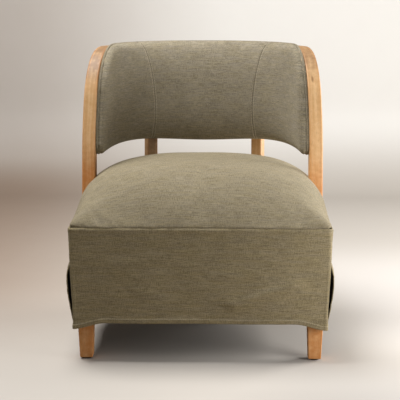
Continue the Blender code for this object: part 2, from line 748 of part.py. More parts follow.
def webbing():
    """Straps from rail to rail: three front to back, and two across on top of them."""
    front = FRONT_LEG_SETBACK - LEG_SIZE / 2 + WEBBING_END
    for name, x in (("left", -WEBBING_HALF_SPREAD), ("middle", 0.0), ("right", WEBBING_HALF_SPREAD)):
        edge = abs(x) + WEBBING_WIDTH / 2
        point, normal = along_barrel(run_at_width(edge))
        back = (point + normal * (-WEBBING_END)).y
        size = (back - front, WEBBING_WIDTH, "along")
        strap("webbing_" + name, (x, (front + back) / 2), size, RAIL_TOP + FIT)
    for name, y in (("front", CROSS_STRAP_FRONT), ("rear", CROSS_STRAP_REAR)):
        reach = y + WEBBING_WIDTH / 2
        point, normal = along_barrel(run_at_depth(max(reach, BARREL_START)))
        half = (point + normal * (-WEBBING_END)).x
        strap("webbing_cross_" + name, (0.0, y), (2 * half, WEBBING_WIDTH, "across"), CROSS_STRAP_LEVEL)


def dust_cover(legs):
    """Thin cloth under the rails, cut round the legs."""
    inset = SKIRT_CLOTH + SKIRT_GAP + POST_THICKNESS - LAP_DEPTH + DUST_COVER_EDGE

    def place(turn, radius, layer):
        level = RAIL_BOTTOM - DUST_COVER_DROP - (0.0 if layer else DUST_COVER_THICKNESS)
        edge = cover_point(2 * HALF_STATIONS * min(turn, 1.0 - turn), inset)
        side = radius if turn <= 0.5 else -radius
        return Vector((side * edge.x, SEAT_CENTRE + radius * (edge.y - SEAT_CENTRE), level))

    obj = piece("dust_cover", disc_skin(2 * HALF_STATIONS, 1, place), CAMBRIC)
    for number, frame in enumerate(legs):
        grown = LEG_SIZE + 2 * COVER_EASE
        shape = bar(RAIL_HEIGHT, grown, grown, FIT, [],
                    lambda l, w, t: Vector((w, t - grown / 2, RAIL_BOTTOM - RAIL_HEIGHT / 2 + l)))
        room = piece("dust_cover_leg_room_%d" % number, shape, None, guide=True)
        room.matrix_local = frame
        cut(obj, [room])
    return obj


# Skirt
def slit(height):
    """How far a corner slit has opened at a height, from 0 at its top to 1 at the hem."""
    return clamp((SLIT_TOP - height) / (SLIT_TOP - HEM_HEIGHT))


def hem(distance):
    """Hem height: it dips towards the open corners."""
    return HEM_HEIGHT - HEM_DIP * smooth(1.0 - distance / HEM_DIP_REACH)


def folds(fraction, count, height):
    """Soft vertical folds, standing out only, and deepest at the hem."""
    fall = clamp((SEAM_HEIGHT - height) / (SEAM_HEIGHT - HEM_HEIGHT))
    return FOLD_DEPTH * fall ** 1.5 * (0.5 - 0.5 * math.cos(math.tau * count * fraction))


def corner_run(inset):
    """Run of the middle of the front corner."""
    return SKIRT_HALF_WIDTH - SKIRT_CORNER + (SKIRT_CORNER - inset) * math.pi / 4


def spread(fraction, share, start, middle, end):
    """Runs from start to middle over the first share of a panel's columns, and on to the end."""
    if fraction <= share:
        return start + (middle - start) * fraction / share
    return middle + (end - middle) * (fraction - share) / (1.0 - share)


def skirt_top():
    return SEAM_HEIGHT - FIT


def skirt_front():
    def place(u, v, layer):
        inset = 0.0 if layer else SKIRT_CLOTH
        limit = corner_run(inset) - FIT / 2
        a = 2.0 * u - 1.0
        run = spread(abs(a), 1.0 - CORNER_SHARE, 0.0, SKIRT_HALF_WIDTH - SKIRT_CORNER, limit)
        point, out = along_outline(inset, run)
        distance = limit - run
        low = hem(distance)
        height = low + (skirt_top() - low) * v
        wave = folds(0.5 * abs(a), FRONT_FOLDS, height)
        tuck = SLIT_TUCK * smooth(slit(height)) * abs(a) ** 3
        spot = point + out * wave
        return Vector((math.copysign(max(0.0, spot.x - tuck), a), spot.y, height))

    return piece("skirt_front", skin(SKIRT_FRONT_COLUMNS, SKIRT_ROWS, place), LINEN)


def side_limits(inset):
    """Runs where a side panel starts and ends."""
    start = corner_run(inset) + FIT / 2
    points = cover_outline(inset)
    past_corner = OUTLINE_DETAIL * (FRONT_STATIONS + CORNER_STATIONS)
    end = float(np.interp(SKIRT_SIDE_REACH, points[past_corner:, 1], outline_run(points)[past_corner:]))
    return start, end


def skirt_side(side, name):
    def place(u, v, layer):
        inset = 0.0 if layer else SKIRT_CLOTH
        start, end = side_limits(inset)
        bend_end = start + (SKIRT_CORNER - inset) * math.pi / 4
        run = spread(u, CORNER_SHARE, start, bend_end, end - FIT / 2)
        point, out = along_outline(inset, run)
        low = hem(run - start)
        height = low + (skirt_top() - low) * v
        opening = slit(height)
        flare = SLIT_FLARE * math.sin(math.pi * opening ** 0.7)
        flare *= smooth(1.0 - (run - start) / SLIT_FLARE_REACH)
        flare += folds(u, SIDE_FOLDS, height)
        spot = point + Vector((abs(out.x), max(0.0, out.y))) * flare
        return Vector((side * spot.x, spot.y, height))

    return piece(name, skin(SKIRT_SIDE_COLUMNS, SKIRT_ROWS, place), LINEN)


def skirt_back():
    def place(u, v, layer):
        inset = 0.0 if layer else SKIRT_CLOTH
        start = side_limits(inset)[1] + FIT / 2
        finish_run = outline_run(cover_outline(inset))[-1]
        a = 2.0 * u - 1.0
        point, out = along_outline(inset, finish_run + (start - finish_run) * abs(a))
        height = HEM_HEIGHT + (skirt_top() - HEM_HEIGHT) * v
        spot = point + out * folds(0.5 + 0.5 * abs(a), BACK_FOLDS, height)
        return Vector((math.copysign(spot.x, a), spot.y, height))

    return piece("skirt_back", skin(SKIRT_BACK_COLUMNS, SKIRT_ROWS, place), LINEN)


# Assembly
def build():
    sides = ((-1, "left"), (1, "right"))
    rail = curved_seat_rail()
    front = front_rail()
    hoop_rail = top_rail()
    shell = back_layer("back_shell", SHELL_OUTER, SHELL_INNER, BACK_CLOTH + FIT, PLYWOOD)
    outside = back_layer("outside_back_cover", -CURVE_GAP, -CURVE_GAP - OUTSIDE_CLOTH, 0.0, LINEN)
    back_foam()
    back_front_cover()
    cover = seat_cover()
    foam = seat_foam()
    leg_frames = []
    for side, label in sides:
        front_frame = Matrix.Translation((side * FRONT_LEG_HALF_SPACING, FRONT_LEG_SETBACK, 0.0))
        rear_frame = rear_leg_frame(side)
        leg_frames += [front_frame, rear_frame]
        front_leg = leg("front_%s_leg" % label, front_frame)
        rear_leg = leg("rear_%s_leg" % label, rear_frame)
        glide("front_%s_glide" % label, front_frame)
        glide("rear_%s_glide" % label, rear_frame)
        block = corner_block(side, "front_%s_corner_block" % label)
        block_bolt("front_%s_leg_bolt" % label, side, block, front_leg, rail)
        rear_bolt("rear_%s_leg_bolt" % label, side, rear_leg, rail)

        post = side_post(side, "%s_side_post" % label)
        back_post = rear_post(side, "%s_rear_post" % label)
        post_bolts(post, rail, side * POST_RUN, POST_THICKNESS, "%s_side_post" % label)
        post_bolts(back_post, rail, side * REAR_POST_RUN, REAR_POST_THICKNESS, "%s_rear_post" % label)
        hoop_joint = barrel_frame(side * HOOP_JOINT_RUN, HOOP_LINE, POST_THICKNESS / 2)
        hoop_joint = hoop_joint @ Matrix.Rotation(math.pi / 2, 4, "Y")
        dowel("%s_hoop_dowel" % label, hoop_joint, post, hoop_rail)
        post_joint = barrel_frame(side * REAR_POST_RUN, HOOP_TOP - POST_WIDTH, REAR_POST_THICKNESS / 2)
        post_joint = post_joint @ Matrix.Rotation(-math.pi / 2, 4, "X")
        dowel("%s_rear_post_dowel" % label, post_joint, back_post, hoop_rail)
        rail_level = RAIL_BOTTOM + RAIL_HEIGHT / 2
        leg_inside = FRONT_LEG_HALF_SPACING - LEG_SIZE / 2
        rail_line = FRONT_LEG_SETBACK - LEG_SIZE / 2 + RAIL_THICKNESS / 2
        front_joint = Matrix.Translation((side * leg_inside, rail_line, rail_level + POST_BOLT_INSET))
        front_joint = front_joint @ Matrix.Rotation(math.pi / 2, 4, "Y")
        dowel("%s_front_rail_dowel" % label, front_joint, front, front_leg)
        shared = (leg_inside + BARREL_HALF_WIDTH + RAIL_OUTER) / 2
        seat_joint = Matrix.Translation((side * shared, leg_back(), rail_level - POST_BOLT_INSET))
        seat_joint = seat_joint @ Matrix.Rotation(math.pi / 2, 4, "X")
        dowel("%s_seat_rail_dowel" % label, seat_joint, rail, front_leg)
        shell_screw("%s_side_post_screw" % label, side * POST_RUN, post, shell, outside)
        shell_screw("%s_rear_post_screw" % label, side * REAR_POST_RUN, back_post, shell, outside)
        openings = [post_opening("%s_side_post_opening" % label, POST_RUN, POST_WIDTH, side),
                    post_opening("%s_rear_post_opening" % label, REAR_POST_RUN, REAR_POST_WIDTH, side)]
        cut(cover, openings)
        cut(foam, openings)
        skirt_side(side, "skirt_%s" % label)
    webbing()
    dust_cover(leg_frames)
    skirt_front()
    skirt_back()
    centre_origin()


def block_bolt(name, side, block, front_leg, rail):
    """A bolt through the corner block and the inner corner of the rails into the middle of the leg."""
    rail_back = FRONT_LEG_SETBACK - LEG_SIZE / 2 + RAIL_THICKNESS + FIT
    rail_side = BARREL_HALF_WIDTH + RAIL_INNER - FIT
    shift = (FRONT_LEG_HALF_SPACING + FRONT_LEG_SETBACK - rail_side - rail_back + BLOCK_LEG) / 2
    face = Vector((side * (rail_side - BLOCK_LEG + shift), rail_back + shift, LEG_BOLT_HEIGHT))
    aim = Vector((side, -1.0, 0.0)).normalized()
    start = face - aim * FIT
    frame = Matrix.Translation(start) @ aim.to_track_quat("Z", "Y").to_matrix().to_4x4()
    corner = Vector((side * (FRONT_LEG_HALF_SPACING - LEG_SIZE / 2), leg_back(), LEG_BOLT_HEIGHT))
    reach = (corner - start).dot(aim) + LEG_BOLT_REACH
    fastener(name, frame, BOLT_RADIUS, reach, BOLT_HEAD_RADIUS, BOLT_HEAD_THICKNESS)
    hole = bore(name + "_hole", frame, BOLT_RADIUS, -BOLT_HEAD_THICKNESS, reach + FIT)
    for target in (block, front_leg, rail):
        cut(target, [hole])


def rear_bolt(name, side, rear_leg, rail):
    """A bolt from the inside of a rear leg out into the curved rail."""
    frame = rear_leg_frame(side) @ Matrix.Translation((0.0, -LEG_SIZE / 2 - FIT, LEG_BOLT_HEIGHT))
    frame = frame @ Matrix.Rotation(-math.pi / 2, 4, "X")
    reach = LEG_SIZE + RAIL_THICKNESS - BOLT_HEAD_THICKNESS
    fastener(name, frame, BOLT_RADIUS, reach, BOLT_HEAD_RADIUS, BOLT_HEAD_THICKNESS)
    hole = bore(name + "_hole", frame, BOLT_RADIUS, -BOLT_HEAD_THICKNESS, reach + FIT)
    cut(rear_leg, [hole])
    cut(rail, [hole])


def centre_origin():
    """Moves the root so that the origin lies under the middle of the chair's box."""
    bpy.context.view_layer.update()
    solids = [obj for obj in bpy.data.objects if obj.type == "MESH" and not obj.hide_render]
    depths = [(obj.matrix_world @ Vector(corner)).y for obj in solids for corner in obj.bound_box]
    ROOT.location.y = -(min(depths) + max(depths)) / 2
    bpy.context.view_layer.update()


build()
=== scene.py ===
"""Barrel chair: the packed solids dressed in oak and linen.

Metres, +Z up, front towards -Y. Depths are measured back from the front of the skirt, runs along
the barrel from the middle of its back, and outs from the inner face of the oak hoop.
"""
import json
import math

import bmesh
import bpy
import numpy as np
from bpy.props import FloatProperty, FloatVectorProperty, IntProperty, PointerProperty
from mathutils import Matrix, Vector, noise

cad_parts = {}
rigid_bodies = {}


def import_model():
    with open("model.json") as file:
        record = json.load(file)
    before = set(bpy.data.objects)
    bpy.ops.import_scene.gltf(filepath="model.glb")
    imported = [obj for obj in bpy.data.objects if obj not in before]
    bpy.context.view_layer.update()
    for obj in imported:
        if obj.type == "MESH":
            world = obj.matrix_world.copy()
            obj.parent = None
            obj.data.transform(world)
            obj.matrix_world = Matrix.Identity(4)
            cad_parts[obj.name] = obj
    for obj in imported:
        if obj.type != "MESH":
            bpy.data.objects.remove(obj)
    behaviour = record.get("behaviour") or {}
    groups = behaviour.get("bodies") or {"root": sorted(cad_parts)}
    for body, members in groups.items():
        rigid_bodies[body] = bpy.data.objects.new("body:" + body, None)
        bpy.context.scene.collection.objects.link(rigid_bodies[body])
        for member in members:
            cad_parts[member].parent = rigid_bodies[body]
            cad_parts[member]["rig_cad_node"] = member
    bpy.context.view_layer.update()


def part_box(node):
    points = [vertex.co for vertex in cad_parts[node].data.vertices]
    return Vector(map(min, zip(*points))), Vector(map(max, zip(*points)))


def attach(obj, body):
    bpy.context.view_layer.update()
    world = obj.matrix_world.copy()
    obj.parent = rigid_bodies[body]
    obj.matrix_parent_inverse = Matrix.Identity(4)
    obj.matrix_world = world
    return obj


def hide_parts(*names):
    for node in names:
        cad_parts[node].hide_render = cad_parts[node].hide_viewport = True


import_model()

bl_info = {
    "name": "Barrel chair",
    "version": (1, 0, 0),
    "blender": (4, 5, 0),
    "location": "3D View > Sidebar > Barrel chair",
    "description": "Dresses the packed barrel chair in oak and linen, piece by piece",
    "category": "Object",
}

SIDES = ((-1, "left"), (1, "right"))


# Properties
def length(default, name, description):
    return FloatProperty(name=name, description=description, default=default, precision=4,
                         unit="LENGTH")


def ratio(default, name, description):
    return FloatProperty(name=name, description=description, default=default, precision=3)


def colour(default, name, description):
    return FloatVectorProperty(name=name, description=description, default=default, size=3,
                               min=0.0, max=1.0, subtype="COLOR")


def watts(default, name, description):
    return FloatProperty(name=name, description=description, default=default, unit="POWER")


def radians(default, name, description):
    return FloatProperty(name=name, description=description, default=default, unit="ROTATION")


def cells(default, least, name, description):
    return IntProperty(name=name, description=description, default=default, min=least)


class BarrelSizes(bpy.types.PropertyGroup):
    """Plan of the hoop's inner face, and how it leans above the seat."""
    half_width: length(0.2905, "Half width", "Half width inside the hoop")
    start: length(0.195, "Start", "Depth at which the barrel's sides begin to turn")
    depth: length(0.345, "Depth", "Depth of the barrel from its start to the middle of the back")
    squareness: ratio(2.4, "Squareness", "2 is an ellipse, more is squarer")
    rake_from: length(0.33, "Rake from", "Height above which the barrel leans back")
    rake: ratio(0.15, "Rake", "Lean backwards for each metre of height")
    narrow_from: length(0.50, "Narrow from", "Height above which the barrel draws in")
    narrowing: ratio(0.6, "Narrowing", "How fast the barrel draws in")


class HoopSizes(bpy.types.PropertyGroup):
    """Bent oak hoop and the two rear posts."""
    thickness: length(0.0365, "Thickness", "Thickness of the side posts and top rail")
    width: length(0.034, "Width", "Width of the side posts and top rail")
    setback: length(0.2345, "Setback", "Depth of the middle of the side posts")
    rounding: length(0.0048, "Rounding", "Radius of the long edges")
    top: length(0.789, "Top", "Height of the top of the hoop")
    bend: length(0.115, "Bend", "Radius of the bend from post to top rail")
    joint_reach: length(0.035, "Joint reach", "Straight length after the bend, up to the joint")
    rear_half_spacing: length(0.153, "Rear half spacing", "Half the distance between the rear posts")
    rear_width: length(0.033, "Rear width", "Width of the rear posts")
    rear_thickness: length(0.023, "Rear thickness", "Thickness of the rear posts")
    lap: length(0.012, "Lap", "Depth to which the posts are halved over the seat rail")
    bottom: length(0.215, "Bottom", "Height of the lower end of the posts")
    rail_top: length(0.3004, "Rail top", "Height at which the posts stand on the seat rail")
    joint_gap: length(0.0003, "Joint gap", "Hairline between wooden pieces")


class LegSizes(bpy.types.PropertyGroup):
    """Square oak legs that taper to the foot."""
    size: length(0.0425, "Size", "Side of a leg above the taper")
    foot: length(0.033, "Foot", "Side of a leg at the floor")
    taper_top: length(0.130, "Taper top", "Height at which the taper begins")
    rounding: length(0.0028, "Rounding", "Radius of the long edges")
    setback: length(0.042, "Setback", "Depth of the middle of the front legs")
    rear_inset: length(0.0735, "Rear inset", "How far inside the barrel the rear legs stand")


class PadSizes(bpy.types.PropertyGroup):
    """Upholstered back pad."""
    top: length(0.796, "Top", "Height of the top edge")
    bottom_front: length(0.503, "Bottom front", "Height of the lower edge at the wings")
    bottom_rear: length(0.506, "Bottom rear", "Height of the lower edge behind")
    bottom_lift: length(0.011, "Bottom lift", "Rise of the lower edge between wing and back")
    rear_thickness: length(0.066, "Rear thickness", "Thickness of the upholstery behind")
    wing_thickness: length(0.019, "Wing thickness", "Thickness of the upholstery at the wings")
    edge_thickness: length(0.010, "Edge thickness", "Thickness of the upholstery at its edge")
    crown_round: length(0.130, "Crown rounding", "Width of the fall to the top and bottom edges")
    front_round: length(0.060, "Front rounding", "Width of the fall to the wings' fronts")
    setback: length(0.004, "Setback", "How far the wings stop behind the front of the posts")
    top_corner: length(0.130, "Top corner", "Radius of the top corners")
    bottom_corner: length(0.028, "Bottom corner", "Radius of the bottom corners")
    thick_half_spacing: length(0.145, "Thick half spacing", "Half width that the thinning starts from")
    cloth: length(0.0028, "Cloth", "Thickness of the cover")
    shell_outer: length(0.0032, "Shell outer", "Distance of the shell's outside from the hoop")
    foam_outer: length(0.0095, "Foam outer", "Distance of the foam's back from the hoop")
    outside_cloth: length(0.0020, "Outside cloth", "Thickness of the outside back cloth")
    outside_gap: length(0.0009, "Outside gap", "Gap between the outside back and the hoop")
    nose: length(0.020, "Nose", "Width over which the edge itself is rounded")
    recess: length(0.0020, "Recess", "Depth of the channel that the welt lies in")
    welt: length(0.0021, "Welt", "Radius of the welt round the pad")
    seam_low: length(0.187, "Seam low", "Run of the curved seams at the lower edge")
    seam_high: length(0.240, "Seam high", "Run of the curved seams at the top edge")
    seam_bend: length(0.520, "Seam bend", "Height above which the seams curve outwards")
    seam_depth: length(0.0020, "Seam depth", "Depth of the valley along a seam")
    seam_thread: length(0.0011, "Seam thread", "Radius of the thick thread beside the seams")
    swell: length(0.004, "Swell", "Most that the stuffing may push the cover out")
    columns: cells(250, 40, "Columns", "Cells of the net along the run")
    rows: cells(58, 20, "Rows", "Cells of the net up the pad")


class SeatSizes(bpy.types.PropertyGroup):
    """Crowned seat under the slipcover."""
    seam: length(0.3555, "Seam", "Height of the seam between seat and skirt")
    crown: length(0.1350, "Crown", "Rise of the crown above the seam")
    centre: length(0.235, "Centre", "Depth of the crown's highest point")
    flatness: ratio(3.5, "Flatness", "More keeps the top flatter")
    shoulder: ratio(2.15, "Shoulder", "More makes the shoulder fuller")
    front_flatness: ratio(3.0, "Front flatness", "Flatness towards the front")
    front_shoulder: ratio(1.12, "Front shoulder", "Shoulder towards the front")
    corners: ratio(2.6, "Corners", "More fills the corners of the crown")
    bottom: length(0.3045, "Bottom", "Height of the underside on the webbing")
    ease: length(0.0015, "Ease", "Gap round the posts")
    swell: length(0.004, "Swell", "Most that the stuffing may push the cover out")
    pucker: length(0.0009, "Pucker", "Height of the gathers along the seam")
    columns: cells(104, 40, "Columns", "Cells of the net across")
    rows: cells(100, 40, "Rows", "Cells of the net front to back")


class SkirtSizes(bpy.types.PropertyGroup):
    """Hanging panels of the slipcover."""
    gap: length(0.0080, "Gap", "From the outside of the posts to the outside of the skirt")
    cloth: length(0.0024, "Cloth", "Thickness of cloth and lining")
    corner: length(0.012, "Corner", "Radius of the front corners in plan")
    side_reach: length(0.360, "Side reach", "Depth at which a side panel meets the back panel")
    hem: length(0.106, "Hem", "Height of the hem")
    hem_dip: length(0.0165, "Hem dip", "Drop of the hem at the open corners")
    hem_dip_reach: length(0.090, "Hem dip reach", "Width over which the hem drops")
    hem_band: length(0.0135, "Hem band", "Width of the turned up hem")
    slit_top: length(0.265, "Slit top", "Height at which the corners open")
    slit_tuck: length(0.006, "Slit tuck", "How far the front panel draws in at the slit")
    slit_flare: length(0.0095, "Slit flare", "How far the side panel stands out at the slit")
    side_draw: length(0.010, "Side draw", "How far the side panels draw in at the hem")
    slit_flare_reach: length(0.075, "Slit flare reach", "Width over which it stands out")
    fold: length(0.0035, "Fold", "Depth of the soft folds at the hem")
    front_folds: ratio(2.5, "Front folds", "Soft folds across half of the front")
    side_folds: ratio(2.0, "Side folds", "Soft folds along a side")
    back_folds: ratio(4.0, "Back folds", "Soft folds across the back")
    ripple: length(0.0014, "Ripple", "Uneven ripples of the hanging cloth")
    stitch: length(0.0044, "Stitch", "Length of one stitch with its gap")
    thread: length(0.0005, "Thread", "Radius of the sewing thread")


class LinenLook(bpy.types.PropertyGroup):
    """Olive linen and what is sewn to it."""
    light: colour((0.370, 0.315, 0.215), "Light", "Lightest threads")
    dark: colour((0.183, 0.153, 0.099), "Dark", "Darkest threads")
    thread: colour((0.560, 0.500, 0.380), "Thread", "Sewing thread")
    # Near black: painted shade for the dark inside of the skirt, seen through its open corners.
    lining: colour((0.010, 0.009, 0.008), "Lining", "Cotton lining inside the skirt")
    pitch: length(0.0021, "Pitch", "Two threads of the weave")
    streak: length(0.022, "Streak", "Length of the thick places in the threads")


class OakLook(bpy.types.PropertyGroup):
    """Oiled oak."""
    pale: colour((0.900, 0.600, 0.320), "Pale", "Pale wood")
    warm: colour((0.760, 0.445, 0.195), "Warm", "Darker growth rings")
    # Deep orange: painted shade in the legs, low on the posts near the seat and on the right rear post,
    # and, with oil, on the long edges.
    deep: colour((0.620, 0.245, 0.068), "Deep", "Deep oil, in the legs and low on the posts")
    # Brown: painted shade on the left rear post, and the colour towards the top of the hoop and on the
    # top rail.
    brown: colour((0.245, 0.135, 0.060), "Brown", "Wood gone brown in the steam, at the bends")
    pore: colour((0.270, 0.125, 0.045), "Pore", "Open pores")
    knot_along: length(5.588, "Knot along", "Place of the right post's knot along the grain")
    knot_through: length(0.0292, "Knot through", "Place of the right post's knot through the grain")
    ring: length(0.0085, "Ring", "Distance between growth rings")


class StageLook(bpy.types.PropertyGroup):
    """Floor, backdrop and light."""
    floor: colour((0.575, 0.540, 0.500), "Floor", "Floor on the light side")
    # Painted shade: darker floor close to the reflector lamp, to take down its pool of light.
    near: colour((0.375, 0.357, 0.340), "Near floor", "Floor close to the reflector")
    # Painted light: a paler floor right of the chair, where the chair's shadow from the top lamp falls.
    far: colour((0.740, 0.710, 0.685), "Far floor", "Floor to the right of the chair")
    wall: colour((0.950, 0.945, 0.930), "Wall", "Backdrop on the light side")
    shade: colour((0.330, 0.255, 0.205), "Shade", "Floor and backdrop on the dark side")
    bounce: colour((0.300, 0.255, 0.200), "Bounce", "What floor and wall throw back onto the chair")
    top: watts(99.0, "Top", "Soft light from above")
    side: watts(72.0, "Side", "Low soft light from the right")
    fill: watts(10.0, "Fill", "Weak light from the left front")
    card: watts(4.4, "Card", "Small reflector beside the skirt")
    world: ratio(0.02, "Surroundings", "Strength of the light from all sides")
    lens: FloatProperty(name="Lens", description="Focal length", default=97.852, unit="CAMERA")
    camera: FloatVectorProperty(name="Camera", description="Place of the camera from the skirt's front",
                                default=(0.065, -2.67029, 0.94188), size=3, subtype="TRANSLATION")
    tilt: radians(0.18994, "Tilt", "Camera's tilt below level")
    turn: radians(0.0243, "Turn", "Camera's turn to the left")


GROUPS = {"barrel": BarrelSizes, "hoop": HoopSizes, "legs": LegSizes, "pad": PadSizes,
          "seat": SeatSizes, "skirt": SkirtSizes, "linen": LinenLook, "oak": OakLook, "stage": StageLook}


class ChairSettings(bpy.types.PropertyGroup):
    """All sizes and colours of the chair."""
    __annotations__ = {
        key: PointerProperty(type=group, name=key.capitalize(), description=group.__doc__)
        for key, group in GROUPS.items()
    }


def settings():
    return bpy.context.scene.barrel_chair


# Curves and nets
def smooth(value):
    value = np.clip(value, 0.0, 1.0)
    return value * value * (3.0 - 2.0 * value)


def closeness(distance, width):
    """1 at an edge, falling straight to 0 over a width beside it."""
    return np.clip(1.0 - distance / width, 0.0, 1.0)


def to_end(fraction):
    """Distance to the nearer end of a span from 0 to 1."""
    return np.minimum(fraction, 1.0 - fraction)


def unit(vectors):
    return vectors / np.linalg.norm(vectors, axis=1, keepdims=True)


def run_of(points):
    """Length along a path up to each of its points."""
    return np.concatenate([[0.0], np.cumsum(np.linalg.norm(np.diff(points, axis=0), axis=1))])


def on_path(at, run, points):
    """Points of a path, or what is kept for each of them, at lengths along it."""
    return np.stack([np.interp(at, run, column) for column in points.T], axis=-1)


def drift(points, scale, seed=0.0):
    """Soft noise from -1 to 1 at each point."""
    shift = Vector((seed, seed * 0.37, -seed))
    return np.array([noise.noise(Vector(point) * scale + shift) for point in points])


class Barrel:
    """Plan of the hoop's inner face, read by the run from the middle of the back."""
    SAMPLES = 2001

    def __init__(self, chair):
        sizes = chair.barrel
        self.sizes = sizes
        self.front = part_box("front_rail")[0].y - (chair.legs.setback - chair.legs.size / 2)
        power = 2.0 / sizes.squareness
        angle = 0.5 * math.pi * (1.0 - np.cos(np.linspace(math.pi, 0.0, self.SAMPLES)))
        c, s = np.cos(angle), np.maximum(0.0, np.sin(angle))
        side = np.sign(c)
        x = side * sizes.half_width * np.abs(c) ** power
        y = sizes.start + sizes.depth * s ** power
        out = np.stack([side * np.abs(c) ** (2.0 - power) / sizes.half_width,
                        s ** (2.0 - power) / sizes.depth])
        out /= np.hypot(*out)
        run = run_of(np.stack([x, y], axis=-1))
        self.middle = run[-1] / 2
        self.run = run - self.middle
        self.table = (x, y, out[0], out[1])
        self.post_run = self.run_at_depth(chair.hoop.setback)
        self.rear_post_run = self.run_at_width(chair.hoop.rear_half_spacing)

    def plan(self, run):
        return [np.interp(run, self.run, column) for column in self.table]

    def spots(self, run, height, out):
        """Points of the chair at runs along the barrel, heights and outs."""
        x, y, nx, ny = self.plan(run)
        sizes = self.sizes
        narrow = 1.0 - sizes.narrowing * np.maximum(0.0, height - sizes.narrow_from) ** 2
        lean = sizes.rake * np.maximum(0.0, height - sizes.rake_from)
        height = np.broadcast_to(height, np.shape(x + out))
        return np.stack([(x + nx * out) * narrow, y + ny * out + lean + self.front, height], axis=-1)

    def run_at_depth(self, depth):
        half = self.run >= 0.0
        return float(np.interp(-depth, -self.table[1][half], self.run[half]))

    def run_at_width(self, width):
        half = self.run >= 0.0
        return float(np.interp(width, self.table[0][half], self.run[half]))


class Outline:
    """Right half of the slipcover's plan, from the middle of the front to the middle of the back."""
    FRONT, BEND, SIDE, BACK = 80, 30, 60, 600  # points along each stretch
    STEP = 0.002  # half the stretch that a way out is measured on

    def __init__(self, chair, barrel):
        corner = chair.skirt.corner
        self.half = chair.barrel.half_width + chair.hoop.thickness + chair.skirt.gap
        front = [(x, 0.0) for x in np.linspace(0.0, self.half - corner, self.FRONT)]
        bend = [(self.half - corner * (1.0 - math.sin(turn)), corner * (1.0 - math.cos(turn)))
                for turn in np.linspace(0.0, math.pi / 2, self.BEND)[1:]]
        side = [(self.half, y) for y in np.linspace(corner, chair.barrel.start, self.SIDE)[1:]]
        x, y, nx, ny = barrel.plan(np.linspace(barrel.middle, 0.0, self.BACK)[1:])
        reach = self.half - chair.barrel.half_width
        back = np.stack([x + nx * reach, y + ny * reach], axis=-1)
        self.points = np.concatenate([np.array(front + bend + side), back])
        self.run = run_of(self.points)
        self.length = self.run[-1]
        self.corner_run = self.half - corner + corner * math.pi / 4
        self.back_depth = self.points[-1, 1]
        past_corner = len(front) + len(bend)
        self.side_end = float(np.interp(chair.skirt.side_reach, self.points[past_corner:, 1],
                                        self.run[past_corner:]))

    def at(self, run):
        """Plan points at runs from the middle of the front, and the ways out there."""
        run = np.clip(run, 0.0, self.length)
        behind, point, ahead = (on_path(np.clip(run + shift, 0.0, self.length), self.run, self.points)
                                for shift in (-self.STEP, 0.0, self.STEP))
        way = ahead - behind
        return point, unit(np.stack([way[:, 1], -way[:, 0]], axis=-1))


def net(columns, rows, place):
    """A net of quads over u and v from 0 to 1; place(u, v) gives its points and thread coordinates."""
    shape = bmesh.new()
    bmesh.ops.create_grid(shape, x_segments=columns, y_segments=rows, size=0.5)
    flat = np.array([vert.co[:2] for vert in shape.verts]) + 0.5
    spots, threads = place(flat[:, 0], flat[:, 1])
    layer = shape.verts.layers.float_vector.new("weave")
    for vert, spot, thread in zip(shape.verts, spots, threads):
        vert.co = spot
        vert[layer] = thread
    return shape, flat


def threads_of(u, v, grey_tint=0.0):
    """Coordinates along the threads; the third value runs from -1, golden, to 1, grey."""
    return np.stack([u, v, np.full_like(u, grey_tint)], axis=-1)


def face_out(shape, centre):
    """Turns the faces of an open sheet so that they look away from a point."""
    centre = Vector(centre)
    shape.normal_update()
    facing = sum((face.calc_center_median() - centre).dot(face.normal) * face.calc_area()
                 for face in shape.faces)
    if facing < 0.0:
        bmesh.ops.reverse_faces(shape, faces=shape.faces[:])


def shaped(name, shape):
    """A smooth mesh from a shape."""
    mesh = bpy.data.meshes.new(name)
    shape.normal_update()
    shape.to_mesh(mesh)
    shape.free()
    mesh.shade_smooth()
    return mesh


def added(name, data):
    """A new object in the scene."""
    obj = bpy.data.objects.new(name, data)
    bpy.context.scene.collection.objects.link(obj)
    return obj


def piece(name, shape, materials):
    """A named piece that rides on the chair."""
    obj = added(name, shaped(name, shape))
    for material in materials:
        obj.data.materials.append(material)
    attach(obj, "root")
    return obj


def opened(obj):
    """A piece's mesh, to be worked on."""
    shape = bmesh.new()
    shape.from_mesh(obj.data)
    return shape


def put_back(shape, obj):
    """Puts a closed shape into a piece, with its faces outwards."""
    bmesh.ops.recalc_face_normals(shape, faces=shape.faces[:])
    shape.to_mesh(obj.data)
    shape.free()
    obj.data.shade_smooth()


def vectors_of(items, key):
    flat = np.empty(len(items) * 3)
    items.foreach_get(key, flat)
    return flat.reshape(-1, 3)


def points_of(mesh):
    return vectors_of(mesh.vertices, "co")


def normals_of(mesh):
    return vectors_of(mesh.vertex_normals, "vector")


def move_points(obj, points):
    obj.data.vertices.foreach_set("co", np.ascontiguousarray(points, dtype=np.float32).ravel())
    obj.data.update()


STUFFING = {"quality": 5, "mass": 0.25, "tension_stiffness": 12.0, "compression_stiffness": 12.0,
            "bending_stiffness": 0.8, "vertex_group_mass": "held", "use_pressure": True,
            "uniform_pressure_force": 4.0, "shrink_min": -0.008}
STUFFING_FRAMES = 18


